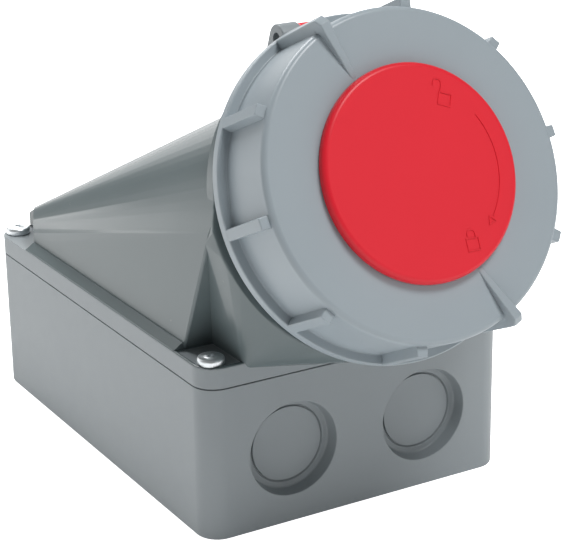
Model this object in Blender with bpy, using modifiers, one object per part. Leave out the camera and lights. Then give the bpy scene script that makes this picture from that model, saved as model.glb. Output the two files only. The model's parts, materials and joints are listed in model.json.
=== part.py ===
"""Surface-mounted industrial wall socket with a hinged, ring-locked lid, in metres.

It lies on its back: the mounting face is on z = 0, the cable-entry end looks along -Y, and the
socket looks along -Y and a little up. The origin is the centre of the mounting face.
"""

import math

import bmesh
import bpy
from mathutils import Matrix, Vector

# Clearances and roundness; a hair keeps joined shapes from ending in one plane
FIT = 0.0003
HAIR = 0.0001
RUNNING_FIT = 0.0005
FACES_ROUND = 48
FACES_SMALL = 16
FACES_CARRIER = 24
FACES_SEAT = 8
RING_FACES = 66
CORNER_FACES = 4

# Back box
BOX_WIDTH = 0.122
BOX_LENGTH = 0.1767
BOX_HEIGHT = 0.0555
BOX_CORNER = 0.0085
BOX_WALL = 0.0035
BOX_FLOOR = 0.003
BOSS_RADIUS = 0.0055
FIXING_HOLE_RADIUS = 0.003
FIXING_INSET_X = 0.021
FIXING_INSET_Y = 0.0185
FIXING_COLLAR_RADIUS = 0.0065
FIXING_COLLAR_HEIGHT = 0.003

# Cable-entry knockouts in the front end of the box
ENTRY_SPACING = 0.0536
ENTRY_HEIGHT = 0.0276
ENTRY_RADIUS = 0.0169
ENTRY_DEPTH = 0.005
ENTRY_TAPER = 0.0006
ENTRY_CUP_WALL = 0.0022
ENTRY_DISC_RADIUS = 0.0135
ENTRY_GROOVE_WIDTH = 0.0007
ENTRY_GROOVE_DEPTH = 0.0008

# Seal between box and cover
SEAL_WIDTH = 0.0011
SEAL_HEIGHT = 0.0013

# Cover: a plate with a skirt, and the hood that grows from it
SKIRT_HEIGHT = 0.0077
PLATE_THICKNESS = 0.003
HOOD_WALL = 0.003
HOOD_INSET_SIDE = 0.0035
HOOD_INSET_FRONT = 0.001
HOOD_INSET_BACK = 0.0013
HOOD_BACK_HEIGHT = 0.0060
HOOD_ROOT = 0.0005

# Screws that hold the cover, and the notches that they stand in
SCREW_INSET = 0.0067
SCREW_SHANK_RADIUS = 0.0024
SCREW_HEAD_RADIUS = 0.0047
SCREW_HEAD_HEIGHT = 0.003
SCREW_LENGTH = 0.022
SCREW_CROSS_WIDTH = 0.0011
SCREW_CROSS_DEPTH = 0.0013
NOTCH_WIDTH = 0.0155
NOTCH_LENGTH = 0.0215
NOTCH_TOP_DEG = 186.0

# Tilt of the socket axis above -Y
AXIS_TILT_DEG = 24.5

# The hood's mouth: round below, a flatter arch above, at its depth behind the ring's face. Its
# lowest point overhangs the box's end and lies a little under the cover's top.
MOUTH_MARGIN = 0.0012
ARCH_MARGIN = 0.001
ARCH_DROP = 0.0144
MOUTH_DEPTH = 0.0385
MOUTH_OVERHANG = 0.02234
MOUTH_SINK = 0.00052
MOUTH_PLATE = 0.004
MOUTH_WALL = 0.0045

# Round neck at the mouth, which fades into the roof behind it
NECK_STEP = 0.0015
NECK_STRAIGHT = 0.0055
NECK_TAPER_LENGTH = 0.020
NECK_TAPER = 0.0133
NECK_WALL = 0.003

# Socket collar, measured back from the ring's front face
TUBE_WALL = 0.004
TUBE_FRONT = 0.0113
TUBE_BACK = 0.050
LEDGE_THICKNESS = 0.004
FLANGE_THICKNESS = 0.005
FLANGE_EDGE = 0.001
KEYWAY_WIDTH = 0.009
KEYWAY_DEPTH = 0.002
COLLAR_SEAL_WIDTH = 0.0014
COLLAR_SEAL_THICKNESS = 0.0014
COLLAR_SEAL_LIP = 0.0006
COLLAR_SCREW_INSET = 0.0037
COLLAR_SCREW_RADIUS = 0.0016
COLLAR_SCREW_HEAD_RADIUS = 0.0031
COLLAR_SCREW_HEAD_HEIGHT = 0.0021
COLLAR_SCREW_LENGTH = 0.010
COLLAR_BOSS_RADIUS = 0.0034
COLLAR_BOSS_LENGTH = 0.0052

# Bayonet
COLLAR_CAM_REACH = 0.004
COLLAR_CAM_GAP = 0.0028
COLLAR_CAM_FRONT = 0.017
COLLAR_CAM_THICKNESS = 0.005
COLLAR_CAM_DEG = 24.0
RING_CAM_REACH = 0.0048
RING_CAM_THICKNESS = 0.0042
RING_CAM_DEG = 20.0
LOCK_TURN_DEG = 40.0

# Locking ring
RIM_STEP = 0.0038
RING_DRAFT = 0.0004
RING_WALL = 0.0035
RING_FACE_WALL = 0.0043
RING_EDGE = 0.002
RIM_RADIUS = 0.0586
RIM_FRONT = 0.0244
RIM_THICKNESS = 0.0039
RIB_COUNT = 10
RIB_FIRST_DEG = 6.0
RIB_WIDTH = 0.0045
RIB_START = 0.0022
RIB_FRONT_DROP = 0.0004
POINTER_RIBS = (3, 8)
POINTER_RISE = 0.0034
POINTER_WIDTH = 0.0042

# Lid
RING_FACE_WIDTH = 0.0201
DISC_PROUD = 0.0035
DISC_EDGE = 0.0014
DISC_SHELL = 0.003
HUB_STEP = 0.0019
LID_PLATE_THICKNESS = 0.0037
LID_PLATE_GAP = 0.0013
LID_RIB_WIDTH = 0.002
LID_SEAL_WIDTH = 0.005
ARM_WIDTH = 0.024
ARM_THICKNESS = 0.0036
ARM_SKIRT_GAP = 0.0009
KNUCKLE_RADIUS = 0.0044

# Hinge
HINGE_RISE = 0.0035
HINGE_DEPTH = 0.0337
PIN_RADIUS = 0.002
PIN_INSET = 0.003
LUG_WIDTH = 0.0077
LUG_RADIUS = 0.0051
LUG_HEEL_DEPTH = 0.0435
LUG_HEEL_DROP = 0.0019

# Contacts
CARRIER_RADIUS = 0.029
CARRIER_FRONT = 0.015
CARRIER_SPLIT = 0.040
CARRIER_BACK = 0.064
CARRIER_FLANGE = 0.003
CONTACT_CIRCLE = 0.018
CONTACT_COUNT = 5
CONTACT_RADIUS = 0.0055
CONTACT_BORE = 0.004
EARTH_RADIUS = 0.0065
EARTH_BORE = 0.005
PILOT_RADIUS = 0.0035
PILOT_BORE = 0.0022
CONTACT_SETBACK = 0.002
CONTACT_BORE_DEPTH = 0.034
TERMINAL_LENGTH = 0.011
TERMINAL_BORE = 0.003
TERMINAL_BORE_DEPTH = 0.010
TERMINAL_SCREW_RADIUS = 0.002
TERMINAL_SCREW_PROUD = 0.0012

# Values that follow from the driving dimensions
HALF_WIDTH = BOX_WIDTH / 2
HALF_LENGTH = BOX_LENGTH / 2
COVER_BOTTOM = BOX_HEIGHT + FIT
COVER_TOP = COVER_BOTTOM + SKIRT_HEIGHT
SCREW_X = HALF_WIDTH - SCREW_INSET
SCREW_Y = HALF_LENGTH - SCREW_INSET
SCREW_HOLE_RADIUS = SCREW_SHANK_RADIUS + FIT
HOOD_SIDE = HALF_WIDTH - HOOD_INSET_SIDE
HOOD_FRONT = -HALF_LENGTH + HOOD_INSET_FRONT
HOOD_BACK = HALF_LENGTH - HOOD_INSET_BACK
NOTCH_X = HALF_WIDTH - NOTCH_WIDTH
NOTCH_Y = HALF_LENGTH - NOTCH_LENGTH
RING_RADIUS = RIM_RADIUS - RIM_STEP
RIM_BACK = RIM_FRONT + RIM_THICKNESS
SKIRT_BORE = RING_RADIUS - RING_WALL
RING_CAM_RADIUS = SKIRT_BORE - RING_CAM_REACH
COLLAR_CAM_RADIUS = SKIRT_BORE - COLLAR_CAM_GAP
TUBE_RADIUS = COLLAR_CAM_RADIUS - COLLAR_CAM_REACH
TUBE_BORE = TUBE_RADIUS - TUBE_WALL
SOCKET_HOLE = TUBE_RADIUS + RUNNING_FIT
NECK_RADIUS = RING_RADIUS - NECK_STEP
FLANGE_RADIUS = NECK_RADIUS
FLANGE_BACK = MOUTH_DEPTH - FIT
FLANGE_FRONT = FLANGE_BACK - FLANGE_THICKNESS
COLLAR_SCREW_CIRCLE = NECK_RADIUS - COLLAR_SCREW_INSET
MOUTH_RADIUS = RING_RADIUS + MOUTH_MARGIN
ARCH_RADIUS = MOUTH_RADIUS + ARCH_MARGIN
TILT = math.radians(AXIS_TILT_DEG)
AXIS_Y = -HALF_LENGTH - MOUTH_OVERHANG - MOUTH_DEPTH * math.cos(TILT) + MOUTH_RADIUS * math.sin(TILT)
AXIS_Z = COVER_TOP - MOUTH_SINK + MOUTH_DEPTH * math.sin(TILT) + MOUTH_RADIUS * math.cos(TILT)
DISC_RADIUS = RING_RADIUS - RING_FACE_WIDTH
HUB_RADIUS = DISC_RADIUS - HUB_STEP
RING_HOLE = HUB_RADIUS + RUNNING_FIT
LID_FRONT = RING_FACE_WALL + FIT
LID_BACK = LID_FRONT + LID_PLATE_THICKNESS
LID_RADIUS = SKIRT_BORE - LID_PLATE_GAP
ARM_OUTER = SKIRT_BORE - ARM_SKIRT_GAP
ARM_INNER = ARM_OUTER - ARM_THICKNESS
ARM_FRONT = RIM_BACK + 2 * FIT
HINGE_HEIGHT = SKIRT_BORE + HINGE_RISE
LUG_HEEL_HEIGHT = HINGE_HEIGHT - LUG_HEEL_DROP
LUG_INNER = ARM_WIDTH / 2 + FIT
LUG_OUTER = LUG_INNER + LUG_WIDTH
PIN_HOLE = PIN_RADIUS + FIT
LEDGE_FRONT = TUBE_BACK - LEDGE_THICKNESS
RING_CAM_FRONT = COLLAR_CAM_FRONT + COLLAR_CAM_THICKNESS + FIT
AXIS_FROM_HINGE = (0, -HINGE_HEIGHT, HINGE_DEPTH)
CONTACT_FRONT = CARRIER_FRONT + CONTACT_SETBACK
CONTACT_BACK = CARRIER_BACK + TERMINAL_LENGTH
TERMINAL_SCREW_DEPTH = CARRIER_BACK + TERMINAL_LENGTH / 2
THROUGH = 0.001

SOLIDS = "industrial_wall_socket"
CUTTERS = "cutters"


def clear_scene():
    for obj in list(bpy.data.objects):
        bpy.data.objects.remove(obj, do_unlink=True)


def make_collection(name):
    collection = bpy.data.collections.new(name)
    bpy.context.scene.collection.children.link(collection)
    return collection


def make_material(name, colour, roughness, metallic=0.0):
    material = bpy.data.materials.new(name)
    material.use_nodes = True
    shader = material.node_tree.nodes["Principled BSDF"]
    shader.inputs["Base Color"].default_value = (*colour, 1.0)
    shader.inputs["Roughness"].default_value = roughness
    shader.inputs["Metallic"].default_value = metallic
    return material


class Frame:
    """An empty that pieces are placed on, with its own X right, Y up and Z out."""

    def __init__(self, name, location=(0, 0, 0), tilt=0.0, parent=None):
        self.empty = bpy.data.objects.new(name, None)
        self.empty.location = location
        self.empty.rotation_euler = (tilt, 0, 0)
        self.empty.empty_display_size = 0.01
        self.empty.parent = parent.empty if parent else None
        bpy.data.collections[SOLIDS].objects.link(self.empty)


def add_object(name, mesh, frame, material=None, location=(0, 0, 0)):
    """A piece where it has a material, and a hidden cutter or addition where it has none."""
    obj = bpy.data.objects.new(name, mesh)
    obj.parent = frame.empty if frame else None
    obj.location = location
    mesh.transform(Matrix.Translation(-Vector(location)))
    if material:
        mesh.materials.append(material)
        bpy.data.collections[SOLIDS].objects.link(obj)
    else:
        obj.hide_render = True
        obj.display_type = "WIRE"
        bpy.data.collections[CUTTERS].objects.link(obj)
    return obj


def finish_mesh(name, bm):
    bmesh.ops.recalc_face_normals(bm, faces=bm.faces)
    mesh = bpy.data.meshes.new(name)
    bm.to_mesh(mesh)
    bm.free()
    return mesh


def shade(obj, degrees=35.0):
    obj.data.shade_smooth()
    obj.data.set_sharp_from_angle(angle=math.radians(degrees))


def boolean(target, tool, operation="DIFFERENCE"):
    modifier = target.modifiers.new(tool.name, "BOOLEAN")
    modifier.object = tool
    modifier.operation = operation
    return target


def cut(target, *tools):
    for tool in tools:
        boolean(target, tool)
    return target


def join(target, *tools):
    for tool in tools:
        boolean(target, tool, "UNION")
    return target


def block_mesh(name, low, high, corner=0.0):
    """A box between two corners, with its edges along Z rounded."""
    bm = bmesh.new()
    bmesh.ops.create_cube(bm, size=1.0)
    low, high = Vector(low), Vector(high)
    bmesh.ops.scale(bm, vec=high - low, verts=bm.verts)
    bmesh.ops.translate(bm, vec=(low + high) / 2, verts=bm.verts)
    if corner > 0:
        upright = [e for e in bm.edges if abs(e.verts[0].co.z - e.verts[1].co.z) > 1e-6]
        bmesh.ops.bevel(bm, geom=upright, offset=corner, segments=CORNER_FACES,
                        profile=0.5, affect="EDGES", material=-1)
    return finish_mesh(name, bm)


def block(name, low, high, frame=None, material=None, corner=0.0, location=(0, 0, 0)):
    return add_object(name, block_mesh(name, low, high, corner), frame, material, location)


def cone_points(radius, centre, direction, count=FACES_ROUND):
    """Points of a circle about a direction, counted from its own X axis."""
    turn = Vector((0, 0, 1)).rotation_difference(Vector(direction)).to_matrix()
    angles = [2 * math.pi * i / count for i in range(count)]
    circle = [Vector((radius * math.cos(a), radius * math.sin(a), 0)) for a in angles]
    return [turn @ point + Vector(centre) for point in circle]


def rod(name, radius, start, end, frame=None, material=None, tip=None, faces=FACES_SMALL):
    """A cylinder or cone between two points."""
    start, end = Vector(start), Vector(end)
    length = (end - start).length
    turn = Vector((0, 0, 1)).rotation_difference((end - start).normalized())
    place = Matrix.Translation((start + end) / 2) @ turn.to_matrix().to_4x4()
    bm = bmesh.new()
    bmesh.ops.create_cone(bm, cap_ends=True, segments=faces, radius1=radius,
                          radius2=radius if tip is None else tip, depth=length, matrix=place)
    return add_object(name, finish_mesh(name, bm), frame, material)


def turned(name, profile, frame=None, material=None, closed=True, faces=FACES_ROUND):
    """A profile of (radius, height) turned about Z; it runs down its outer side."""
    bm = bmesh.new()
    verts = [bm.verts.new((radius, 0, height)) for radius, height in profile]
    pairs = zip(verts, verts[1:] + verts[:1] if closed else verts[1:])
    for first, second in pairs:
        bm.edges.new((first, second))
    mesh = bpy.data.meshes.new(name)
    bm.to_mesh(mesh)
    bm.free()
    obj = add_object(name, mesh, frame, material)
    screw = obj.modifiers.new("turn", "SCREW")
    screw.steps = screw.render_steps = faces
    screw.use_merge_vertices = True
    screw.merge_threshold = 0.00001
    return obj


def arc(centre_r, centre_z, radius, start_deg, end_deg, steps):
    """Points of a fillet in a turned profile."""
    turn = math.radians(end_deg - start_deg) / steps
    first = math.radians(start_deg)
    return [(centre_r + radius * math.cos(first + turn * i),
             centre_z + radius * math.sin(first + turn * i)) for i in range(steps + 1)]


def sector(name, inner, outer, front, back, middle_deg, width_deg, frame, steps=6):
    """A piece of a ring: its section is spun about Z."""
    bm = bmesh.new()
    start = math.radians(middle_deg - width_deg / 2)
    corners = [(inner, -back), (outer, -back), (outer, -front), (inner, -front)]
    verts = [bm.verts.new((r * math.cos(start), r * math.sin(start), z)) for r, z in corners]
    face = bm.faces.new(verts)
    bmesh.ops.spin(bm, geom=[face, *face.edges, *verts], angle=math.radians(width_deg),
                   steps=steps, axis=(0, 0, 1), cent=(0, 0, 0))
    return add_object(name, finish_mesh(name, bm), frame)


def hull(name, points, frame=None, material=None):
    """The solid stretched over a set of points, as a straight loft between outlines is."""
    bm = bmesh.new()
    for point in points:
        bm.verts.new(point)
    bmesh.ops.convex_hull(bm, input=bm.verts)
    loose = [v for v in bm.verts if not v.link_faces]
    bmesh.ops.delete(bm, geom=loose, context="VERTS")
    return add_object(name, finish_mesh(name, bm), frame, material)


def rounded_frame(name, inset, width, bottom, top, material=None):
    """A loop that follows the box's outline, with its own inset and width."""
    loop = block(name, (-HALF_WIDTH + inset, -HALF_LENGTH + inset, bottom),
                 (HALF_WIDTH - inset, HALF_LENGTH - inset, top), None, material,
                 corner=BOX_CORNER - inset)
    inner = inset + width
    hole = block(name + "_hole", (-HALF_WIDTH + inner, -HALF_LENGTH + inner, bottom - THROUGH),
                 (HALF_WIDTH - inner, HALF_LENGTH - inner, top + THROUGH),
                 corner=BOX_CORNER - inner)
    return cut(loop, hole)


def socket_point(x, up, depth):
    """A point of the tilted socket frame, in the part's frame."""
    return Vector((x, AXIS_Y + depth * math.cos(TILT) + up * math.sin(TILT),
                   AXIS_Z - depth * math.sin(TILT) + up * math.cos(TILT)))


def corner_signs():
    return [(sx, sy) for sy in (-1, 1) for sx in (-1, 1)]


def make_back_box(material):
    """The box: a floor and four walls, with screw bosses, fixing holes and two knockouts."""
    box = block("back_box", (-HALF_WIDTH, -HALF_LENGTH, 0), (HALF_WIDTH, HALF_LENGTH, BOX_HEIGHT),
                None, material, corner=BOX_CORNER)
    cut(box, block("box_inside", (-HALF_WIDTH + BOX_WALL, -HALF_LENGTH + BOX_WALL, BOX_FLOOR),
                   (HALF_WIDTH - BOX_WALL, HALF_LENGTH - BOX_WALL, BOX_HEIGHT + THROUGH),
                   corner=BOX_CORNER - BOX_WALL))
    for i, (sx, sy) in enumerate(corner_signs()):
        x, y = sx * SCREW_X, sy * SCREW_Y
        join(box, rod(f"box_boss_{i}", BOSS_RADIUS, (x, y, BOX_FLOOR / 2), (x, y, BOX_HEIGHT - FIT)))
    for i, sx in enumerate((-1, 1)):
        x = sx * ENTRY_SPACING / 2
        cup_back = -HALF_LENGTH + ENTRY_DEPTH + ENTRY_CUP_WALL
        join(box, rod(f"entry_cup_{i}", ENTRY_RADIUS + ENTRY_CUP_WALL,
                      (x, -HALF_LENGTH + BOX_WALL / 2, ENTRY_HEIGHT), (x, cup_back, ENTRY_HEIGHT),
                      tip=ENTRY_RADIUS + ENTRY_CUP_WALL - ENTRY_TAPER, faces=FACES_ROUND // 2))
    for i, (sx, sy) in enumerate(corner_signs()):
        x, y = sx * (HALF_WIDTH - FIXING_INSET_X), sy * (HALF_LENGTH - FIXING_INSET_Y)
        join(box, rod(f"fixing_collar_{i}", FIXING_COLLAR_RADIUS, (x, y, BOX_FLOOR / 2),
                      (x, y, BOX_FLOOR + FIXING_COLLAR_HEIGHT)))
        cut(box, rod(f"fixing_hole_{i}", FIXING_HOLE_RADIUS, (x, y, -THROUGH),
                     (x, y, BOX_FLOOR + FIXING_COLLAR_HEIGHT + THROUGH)))
    for i, (sx, sy) in enumerate(corner_signs()):
        x, y = sx * SCREW_X, sy * SCREW_Y
        cut(box, rod(f"boss_hole_{i}", SCREW_HOLE_RADIUS,
                     (x, y, COVER_TOP - SCREW_LENGTH - THROUGH), (x, y, COVER_TOP)))
    groove_bottom = BOX_HEIGHT - SEAL_HEIGHT - FIT
    cut(box, rounded_frame("seal_groove", (BOX_WALL - SEAL_WIDTH) / 2 - FIT, SEAL_WIDTH + 2 * FIT,
                           groove_bottom, BOX_HEIGHT + THROUGH))
    for i, sx in enumerate((-1, 1)):
        x = sx * ENTRY_SPACING / 2
        floor = -HALF_LENGTH + ENTRY_DEPTH
        cut(box, rod(f"entry_recess_{i}", ENTRY_RADIUS + ENTRY_TAPER,
                     (x, -HALF_LENGTH - THROUGH, ENTRY_HEIGHT), (x, floor, ENTRY_HEIGHT),
                     tip=ENTRY_RADIUS - ENTRY_TAPER, faces=FACES_ROUND // 2))
        groove = rod(f"entry_groove_{i}", ENTRY_DISC_RADIUS + ENTRY_GROOVE_WIDTH,
                     (x, floor - THROUGH, ENTRY_HEIGHT),
                     (x, floor + ENTRY_GROOVE_DEPTH, ENTRY_HEIGHT), faces=FACES_ROUND // 2)
        core = rod(f"entry_core_{i}", ENTRY_DISC_RADIUS, (x, floor - 2 * THROUGH, ENTRY_HEIGHT),
                   (x, floor + 2 * THROUGH, ENTRY_HEIGHT), faces=FACES_ROUND // 2)
        cut(box, cut(groove, core))
    return box


def mouth_outline(inset, depth):
    """The mouth's edge: a circle about the socket axis below, and a flatter arch above it."""
    radius, arch = MOUTH_RADIUS - inset, ARCH_RADIUS - inset
    meet = (arch ** 2 - radius ** 2 - ARCH_DROP ** 2) / (2 * ARCH_DROP)
    round_start = math.degrees(math.asin(meet / radius))
    arch_start = math.degrees(math.asin((meet + ARCH_DROP) / arch))
    half = FACES_ROUND // 2
    below = arc(0, 0, radius, round_start, -180 - round_start, half)
    above = arc(0, -ARCH_DROP, arch, 180 - arch_start, arch_start, half)
    return [socket_point(x, up, depth) for x, up in below + above[1:-1]]


def hood_outline(inset, foot, back_height, mouth_inset, depth):
    """The points that the hood is stretched over: its foot, its back edge and its mouth."""
    side, front, back = HOOD_SIDE - inset, HOOD_FRONT + inset, HOOD_BACK - inset
    points = [Vector((sx * side, y, foot)) for sx in (-1, 1) for y in (front, back)]
    points += [Vector((sx * side, back, back_height)) for sx in (-1, 1)]
    return points + mouth_outline(mouth_inset, depth)


def neck_profile(inset, front):
    """Half the neck's section, which starts at its front face and tapers into the hood."""
    bend = MOUTH_DEPTH + NECK_STRAIGHT
    end = bend + NECK_TAPER_LENGTH
    return [(0, -front), (NECK_RADIUS - inset, -front), (NECK_RADIUS - inset, -bend),
            (NECK_RADIUS - NECK_TAPER - inset, -end), (0, -end)]


def front_notch(name, sx, grow):
    """The tapering corner notch: two walls that lean out and meet at the mouth's side."""
    top = math.radians(NOTCH_TOP_DEG)
    apex = socket_point(MOUTH_RADIUS * math.cos(top), MOUTH_RADIUS * math.sin(top), MOUTH_DEPTH)
    foot = Vector((-NOTCH_X, -NOTCH_Y, COVER_TOP))
    slope = (apex - foot) / (apex.z - foot.z)
    points = []
    for z in (COVER_TOP - SKIRT_HEIGHT - THROUGH, apex.z + grow):
        corner = foot + slope * (z - foot.z) + Vector((grow, grow, 0))
        for x in (corner.x, -2 * HALF_WIDTH):
            for y in (corner.y, -2 * HALF_LENGTH):
                points.append((-sx * x, y, z))
    return hull(name, points)


def back_notch(name, sx, grow):
    """The rear corner notch, with upright walls."""
    low = (NOTCH_X - grow, NOTCH_Y - grow, COVER_BOTTOM - THROUGH)
    high = (2 * HALF_WIDTH, 2 * HALF_LENGTH, AXIS_Z)
    xs = sorted((sx * low[0], sx * high[0]))
    return block(name, (xs[0], low[1], low[2]), (xs[1], high[1], high[2]))


def make_hood_cover(material, axis):
    """The cover: skirt and plate, the hood stretched from it to the round mouth."""
    hood = hull("hood_outside", hood_outline(0, COVER_TOP - HOOD_ROOT,
                                             COVER_TOP + HOOD_BACK_HEIGHT, 0, MOUTH_DEPTH))
    inside_front = MOUTH_DEPTH + MOUTH_PLATE
    cavity = hull("hood_inside",
                  hood_outline(HOOD_WALL, COVER_TOP + PLATE_THICKNESS - HOOD_ROOT,
                               COVER_TOP + HOOD_BACK_HEIGHT - HOOD_WALL, MOUTH_WALL, inside_front))
    join(hood, turned("neck_outside", neck_profile(0, MOUTH_DEPTH + HAIR), axis,
                      closed=False))
    join(cavity, turned("neck_inside", neck_profile(NECK_WALL, inside_front + HAIR), axis,
                        closed=False))
    well = block("hood_well", (-HOOD_SIDE + HOOD_WALL, HOOD_FRONT + HOOD_WALL,
                               COVER_BOTTOM - THROUGH),
                 (HOOD_SIDE - HOOD_WALL, HOOD_BACK - HOOD_WALL,
                  COVER_TOP + PLATE_THICKNESS - HOOD_ROOT / 2))
    join(cavity, well)
    for side, sx in (("left", -1), ("right", 1)):
        cut(hood, front_notch(f"notch_front_{side}", sx, 0.0),
            back_notch(f"notch_back_{side}", sx, 0.0))
        cut(cavity, front_notch(f"keep_front_{side}", sx, HOOD_WALL),
            back_notch(f"keep_back_{side}", sx, HOOD_WALL))
    cover = block("hood_cover", (-HALF_WIDTH, -HALF_LENGTH, COVER_BOTTOM),
                  (HALF_WIDTH, HALF_LENGTH, COVER_TOP), None, material, corner=BOX_CORNER)
    cut(cover, block("cover_inside",
                     (-HALF_WIDTH + BOX_WALL, -HALF_LENGTH + BOX_WALL, COVER_BOTTOM - THROUGH),
                     (HALF_WIDTH - BOX_WALL, HALF_LENGTH - BOX_WALL, COVER_TOP - PLATE_THICKNESS),
                     corner=BOX_CORNER - BOX_WALL))
    join(cover, hood)
    cut(cover, cavity)
    for i, (sx, sy) in enumerate(corner_signs()):
        x, y = sx * SCREW_X, sy * SCREW_Y
        join(cover, rod(f"cover_boss_{i}", BOSS_RADIUS, (x, y, COVER_BOTTOM + FIT),
                        (x, y, COVER_TOP - PLATE_THICKNESS / 2)))
        cut(cover, rod(f"cover_hole_{i}", SCREW_HOLE_RADIUS, (x, y, COVER_BOTTOM - THROUGH),
                       (x, y, COVER_TOP + THROUGH)))
    for i in range(4):
        x, up = collar_screw_place(i)
        join(cover, rod(f"mouth_boss_{i}", COLLAR_BOSS_RADIUS,
                        (x, up, -MOUTH_DEPTH - MOUTH_PLATE / 2),
                        (x, up, -MOUTH_DEPTH - COLLAR_BOSS_LENGTH), axis))
    cut(cover, rod("mouth_hole", SOCKET_HOLE, (0, 0, -MOUTH_DEPTH + THROUGH),
                   (0, 0, -MOUTH_DEPTH - COLLAR_BOSS_LENGTH - THROUGH), axis, faces=FACES_ROUND))
    for i in range(4):
        x, up = collar_screw_place(i)
        cut(cover, rod(f"mouth_screw_hole_{i}", COLLAR_SCREW_RADIUS + FIT,
                       (x, up, -MOUTH_DEPTH + THROUGH),
                       (x, up, -FLANGE_FRONT - COLLAR_SCREW_LENGTH - THROUGH), axis))
    return cover


def collar_screw_place(index):
    angle = math.radians(45 + 90 * index)
    return COLLAR_SCREW_CIRCLE * math.cos(angle), COLLAR_SCREW_CIRCLE * math.sin(angle)


def cross_recess(name, top, frame, at=(0, 0), width=SCREW_CROSS_WIDTH, reach=0.0022,
                 depth=SCREW_CROSS_DEPTH):
    """A cross of two crossing slots, sunk into a screw head."""
    x, y = at
    long_way = block(name + "_long", (x - reach, y - width / 2, top - depth),
                     (x + reach, y + width / 2, top + THROUGH), frame)
    short_way = block(name + "_short", (x - width / 2, y - reach, top - depth * 0.999),
                      (x + width / 2, y + reach, top + 2 * THROUGH), frame)
    return join(long_way, short_way)


def make_screw(name, x, y, seat, frame, material, shank, head, height, length,
               faces=FACES_SMALL):
    """A pan-head screw: a domed head on a plain shank."""
    top = seat + FIT + height
    dome = arc(head - height * 0.6, top - height * 0.6, height * 0.6, 90, 0, 3)
    profile = [(0, top), *dome, (head, seat + FIT), (shank, seat + FIT),
               (shank, seat - length + shank), (shank / 2, seat - length), (0, seat - length)]
    screw = turned(name, profile, frame, material, closed=False, faces=faces)
    screw.location = (x, y, 0)
    shade(screw)
    return screw, top


def make_cover_screws(material):
    for i, (sx, sy) in enumerate(corner_signs()):
        x, y = sx * SCREW_X, sy * SCREW_Y
        screw, top = make_screw(f"cover_screw_{i + 1}", x, y, COVER_TOP, None, material,
                                SCREW_SHANK_RADIUS, SCREW_HEAD_RADIUS, SCREW_HEAD_HEIGHT,
                                SCREW_LENGTH)
        cut(screw, cross_recess(f"cover_cross_{i}", top, None, (x, y),
                                reach=SCREW_HEAD_RADIUS * 0.55))


def make_collar(material, axis):
    """The socket collar: tube, flange, bayonet cams, keyway and hinge lugs in one moulding."""
    edge = FLANGE_EDGE
    profile = [(TUBE_BORE, -TUBE_FRONT), (TUBE_RADIUS, -TUBE_FRONT),
               (TUBE_RADIUS, -FLANGE_FRONT),
               *arc(FLANGE_RADIUS - edge, -FLANGE_FRONT - edge, edge, 90, 0, 3),
               (FLANGE_RADIUS, -FLANGE_BACK), (TUBE_RADIUS, -FLANGE_BACK),
               (TUBE_RADIUS, -TUBE_BACK), (CARRIER_RADIUS + RUNNING_FIT, -TUBE_BACK),
               (CARRIER_RADIUS + RUNNING_FIT, -LEDGE_FRONT), (TUBE_BORE, -LEDGE_FRONT)]
    collar = turned("socket_collar", profile, axis, material)
    for i, middle in enumerate((-LOCK_TURN_DEG, 180 - LOCK_TURN_DEG)):
        join(collar, sector(f"collar_cam_{i}", TUBE_RADIUS - TUBE_WALL / 2, COLLAR_CAM_RADIUS,
                            COLLAR_CAM_FRONT, COLLAR_CAM_FRONT + COLLAR_CAM_THICKNESS,
                            middle, COLLAR_CAM_DEG, axis))
    pin = (HINGE_HEIGHT, -HINGE_DEPTH)
    for side, sx in (("left", -1), ("right", 1)):
        join(collar, make_lug(f"lug_{side}", sx, pin, axis))
    slot_floor = HINGE_HEIGHT - KNUCKLE_RADIUS - RUNNING_FIT
    slot_half = LUG_INNER - HAIR
    cut(collar, block("knuckle_slot", (-slot_half, slot_floor, -MOUTH_DEPTH - THROUGH),
                      (slot_half, HINGE_HEIGHT + 2 * KNUCKLE_RADIUS, -FLANGE_FRONT + THROUGH), axis))
    for side, sx in (("left", -1), ("right", 1)):
        cut(collar, rod(f"lug_hole_{side}", PIN_HOLE, (sx * (LUG_INNER - THROUGH), *pin),
                        (sx * (LUG_OUTER + THROUGH), *pin), axis))
    cut(collar, block("keyway", (-KEYWAY_WIDTH / 2, -TUBE_BORE - KEYWAY_DEPTH, -LEDGE_FRONT),
                      (KEYWAY_WIDTH / 2, -CARRIER_RADIUS, -TUBE_FRONT + THROUGH), axis))
    seal_inner, seal_outer = collar_seal_radii(FIT)
    cut(collar, turned("collar_groove",
                       [(seal_inner, -MOUTH_DEPTH + COLLAR_SEAL_THICKNESS + 2 * FIT),
                        (seal_outer, -MOUTH_DEPTH + COLLAR_SEAL_THICKNESS + 2 * FIT),
                        (seal_outer, -MOUTH_DEPTH - THROUGH), (seal_inner, -MOUTH_DEPTH - THROUGH)],
                       axis))
    for i in range(4):
        x, up = collar_screw_place(i)
        cut(collar, rod(f"flange_hole_{i}", COLLAR_SCREW_RADIUS + FIT,
                        (x, up, -FLANGE_FRONT + THROUGH), (x, up, -FLANGE_BACK - THROUGH), axis))
    return collar


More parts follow.
